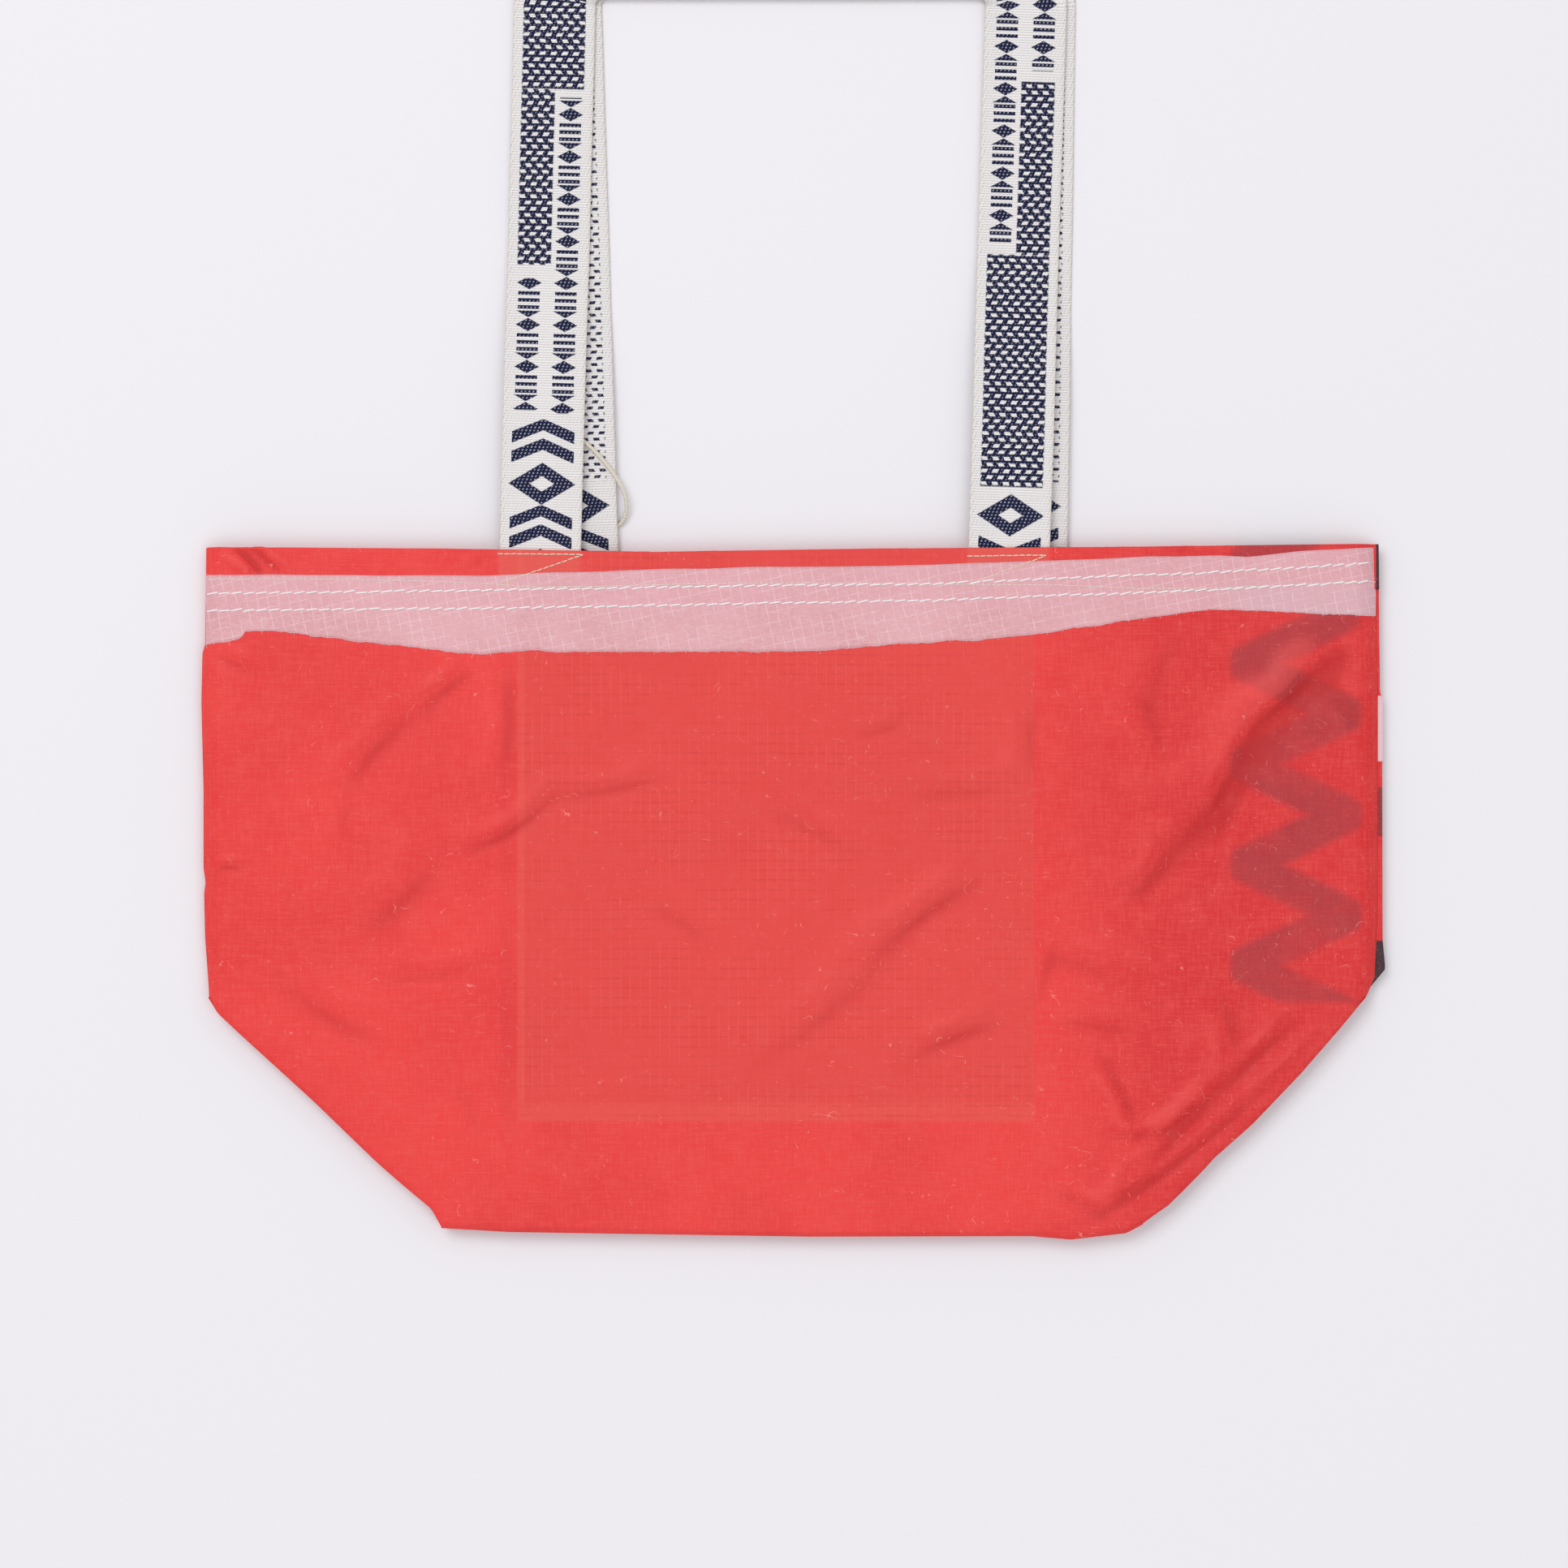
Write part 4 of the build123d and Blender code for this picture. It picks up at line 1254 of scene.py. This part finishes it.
def tape_path(legs, start_y):
    """The middle line of a handle from its left end to its right, and the distances along it."""
    left_foot, left_top, right_top, right_foot = legs
    corners = [(left_foot, start_y), (left_top, HANDLE_TOP_Y), (right_top, HANDLE_TOP_Y)]
    return rounded_path([*corners, (right_foot, start_y)], TAPE_BEND_RADIUS, 0.0012)


def tape_profile():
    """The tape's section, all the way round: shares of its half width and half thickness."""
    upper = [(-1, 0.0), (-0.985, 0.5), (-0.94, 0.92), (-0.90, 0.86), (-0.6, 0.92), (-0.3, 0.98)]
    upper += [(0, 1.0)] + [(-across, thick) for across, thick in upper[::-1]]
    return upper + [(across, -thick) for across, thick in upper[-2:0:-1]]


def tape_loop(handle, legs, line, material, seed):
    """One handle: a flat woven tape from its sewn end, up, across and down to its other end."""
    path, places = tape_path(legs, TAPE_START_Y + 0.0006)
    ahead = unit(np.gradient(path, axis=0))
    right = np.stack([ahead[:, 1], -ahead[:, 0]], axis=1)
    half = TAPE_WIDTH / 2
    profile = tape_profile()
    wobble = ripple(places, places * 0, 0.050, seed) * 0.0004
    bow = ripple(places, places * 0 + 3, 0.080, seed) * 0.0005
    vertices, rest = [], []
    for index, (place, side, distance) in enumerate(zip(path, right, places)):
        height = float(along(line, place[1]))
        for across, thick in profile:
            x, y = place + side * (across * half + wobble[index] * 0.4)
            z = height + thick * TAPE / 2 + bow[index] * across * 0.5
            vertices.append((x, y, max(z, 0.00005)))
            rest.append((across * half, distance, thick))
    faces = rings_faces(len(path), len(profile))
    piece = mesh_object(f"{handle}_tape", np.array(vertices), faces, material, np.array(rest))
    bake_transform(piece)
    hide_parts(f"{handle}_handle", f"{handle}_handle_ends")


def front_tape_material():
    """The front handle's pattern. Areas run across the tape, then along it from its left end."""
    total = float(tape_path(FRONT_TAPE_X, TAPE_START_Y)[1][-1])
    wide, inner, low_inner = PATTERN_OUTER, PATTERN_INNER, -PATTERN_INNER + 0.0025

    def left(*heights):
        return [y - TAPE_START_Y for y in heights]

    def right(*heights):
        return [total - (y - TAPE_START_Y) for y in heights[::-1]]

    lattice_areas = [
        (-wide, low_inner, *left(0.231, 0.296)),
        (-wide, wide, *left(0.296), total / 2 - 0.030),
        (-wide, wide, *right(0.150, 0.236)),
        (-wide, low_inner, *right(0.236, 0.300)),
    ]
    mark_areas = [
        (-wide, -inner, *left(0.177, 0.226)),
        (inner, wide, *left(0.176, 0.293)),
        (inner, wide, *right(0.240, 0.340)),
        (-wide, -inner, *right(0.304, 0.340)),
        (-wide, wide, total / 2 + 0.030, total / 2 + 0.075),
    ]
    (left_end,), (right_end,) = left(0.1737), right(0.1475)
    bold_runs = [
        (left_end - 4 * BOLD_PITCH, left_end),
        (right_end, right_end + 3 * BOLD_PITCH),
        (total / 2 - 1.5 * BOLD_PITCH, total / 2 + 1.5 * BOLD_PITCH),
    ]
    return woven_tape("woven tape", lattice_areas, mark_areas, bold_runs)


def rear_tape_material():
    """The rear handle's reverse side: dots all along it, and bold marks near its two ends."""
    total = float(tape_path(FRONT_TAPE_X, TAPE_START_Y)[1][-1])
    dots_start, marks_end = 0.151 - TAPE_START_Y, 0.150 - TAPE_START_Y
    dots = (-PATTERN_OUTER, PATTERN_OUTER, dots_start, total - dots_start)
    runs = [(marks_end - 3 * BOLD_PITCH, marks_end)]
    runs.append((total - marks_end, total - marks_end + 3 * BOLD_PITCH))
    return woven_tape("woven tape, reverse", [dots], [], runs, dotted=True)


def handles():
    """Both handles."""
    tape_loop("front", FRONT_TAPE_X, FRONT_TAPE_LINE, front_tape_material(), 91.0)
    tape_loop("rear", REAR_TAPE_X, REAR_TAPE_LINE, rear_tape_material(), 92.0)


def smooth_route(points, steps):
    """A Catmull-Rom curve through the points."""
    route = [np.array(p, float) for p in points]
    route = [2 * route[0] - route[1], *route, 2 * route[-1] - route[-2]]
    made = []
    for a, b, c, d in zip(route, route[1:], route[2:], route[3:]):
        for t in np.linspace(0, 1, steps, endpoint=False):
            made.append(0.5 * (2 * b + (c - a) * t + (2 * a - 5 * b + 4 * c - d) * t**2
                               + (3 * b - a - 3 * c + d) * t**3))
    made.append(route[-2])
    return made


def tag_cord(material):
    """The thin twisted cord looped round the rear handle's left leg, and its knot."""
    path = smooth_route(CORD_ROUTE, 14)
    piece = joined("tag_cord_yarn", [tube(path, CORD_DIAMETER / 2, 14, CORD_TWIST, 2)], material)
    low, high = (np.array(corner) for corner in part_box("tag_cord_knot"))
    radius = CORD_DIAMETER / 2 * 0.92
    reach = (high - low) / 2 - radius
    loop = []
    for t in np.linspace(0, 2 * np.pi, 73):
        x = (math.sin(t) + 2 * math.sin(2 * t)) / 3
        y = (math.cos(t) - 2 * math.cos(2 * t)) / 3
        loop.append((low + high) / 2 + reach * (x * 0.85, y * 0.85, -0.9 * math.sin(3 * t)))
    knot = joined("tag_cord_knot_yarn", [tube(loop, radius, 12, CORD_TWIST, 2)], material)
    for part, node in ((piece, "tag_cord"), (knot, "tag_cord_knot")):
        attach(part, "rear_handle")
        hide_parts(node)


def table():
    """A plain pale table top."""
    bpy.ops.mesh.primitive_plane_add(size=6.0, location=(0, 0, -0.0002))
    floor = bpy.context.object
    floor.name = "table"
    surface = bpy.data.materials.new("table")
    surface.use_nodes = True
    shader = surface.node_tree.nodes["Principled BSDF"]
    shader.inputs["Base Color"].default_value = (*TABLE_TOP, 1)
    shader.inputs["Roughness"].default_value = 0.9
    floor.data.materials.append(surface)


def lamp(name, place, size, power, tint):
    """A square area light that faces the origin."""
    light = bpy.data.lights.new(name, "AREA")
    light.size = size
    light.energy = power
    light.color = tint
    holder = bpy.data.objects.new(name, light)
    holder.location = place
    holder.rotation_euler = (-Vector(place)).to_track_quat("-Z", "Y").to_euler()
    scene.collection.objects.link(holder)


def room():
    """Even light from all round."""
    world = bpy.data.worlds.new("room")
    world.use_nodes = True
    backdrop = world.node_tree.nodes["Background"]
    backdrop.inputs["Color"].default_value = (*ROOM_LIGHT, 1)
    backdrop.inputs["Strength"].default_value = 0.600
    scene.world = world
    scene.view_settings.view_transform = "Standard"


def camera():
    """The camera, straight above."""
    data = bpy.data.cameras.new("camera")
    data.lens = LENS
    data.sensor_width = SENSOR
    holder = bpy.data.objects.new("camera", data)
    holder.location = (*CAMERA_CENTRE, CAMERA_HEIGHT)
    scene.collection.objects.link(holder)
    scene.camera = holder


def studio():
    """A pale table, soft light mostly from the upper left, and the camera."""
    table()
    lamp("key", place=(-1.3, 1.6, 2.9), size=1.9, power=46.0, tint=(1.0, 0.99, 0.985))
    lamp("fill", place=(0.8, -1.0, 3.2), size=2.5, power=26.0, tint=(0.98, 0.985, 1.0))
    room()
    camera()


front_outer, front_shade = front_points()
back_outer, back_shade = back_points()
front_ground = Ground(front_outer)
back_ground = Ground(back_outer)
cut_edge = np.random.default_rng(8)  # unevenness of the band's cut edge
red_front = ripstop("red ripstop, front", front=True)
red_back = ripstop("red ripstop, back", back=True)
red_plain = ripstop("red ripstop")
front_pieces = panels(red_front, red_back)[:2]
base(red_plain)
tucks(red_plain)
side_seams(red_plain)
pocket(pale_ripstop("pocket ripstop", over_red=False))
band(pale_ripstop("pale ripstop band"))
white_thread = thread_material("white thread", WHITE_THREAD)
cream_thread = thread_material("cream thread", CREAM_THREAD)
stitching(white_thread, cream_thread)
handle_stitching(thread_material("cream handle thread", HANDLE_THREAD))
handles()
tag_cord(thread_material("cotton cord", CORD_COTTON, 0.0012))
studio()
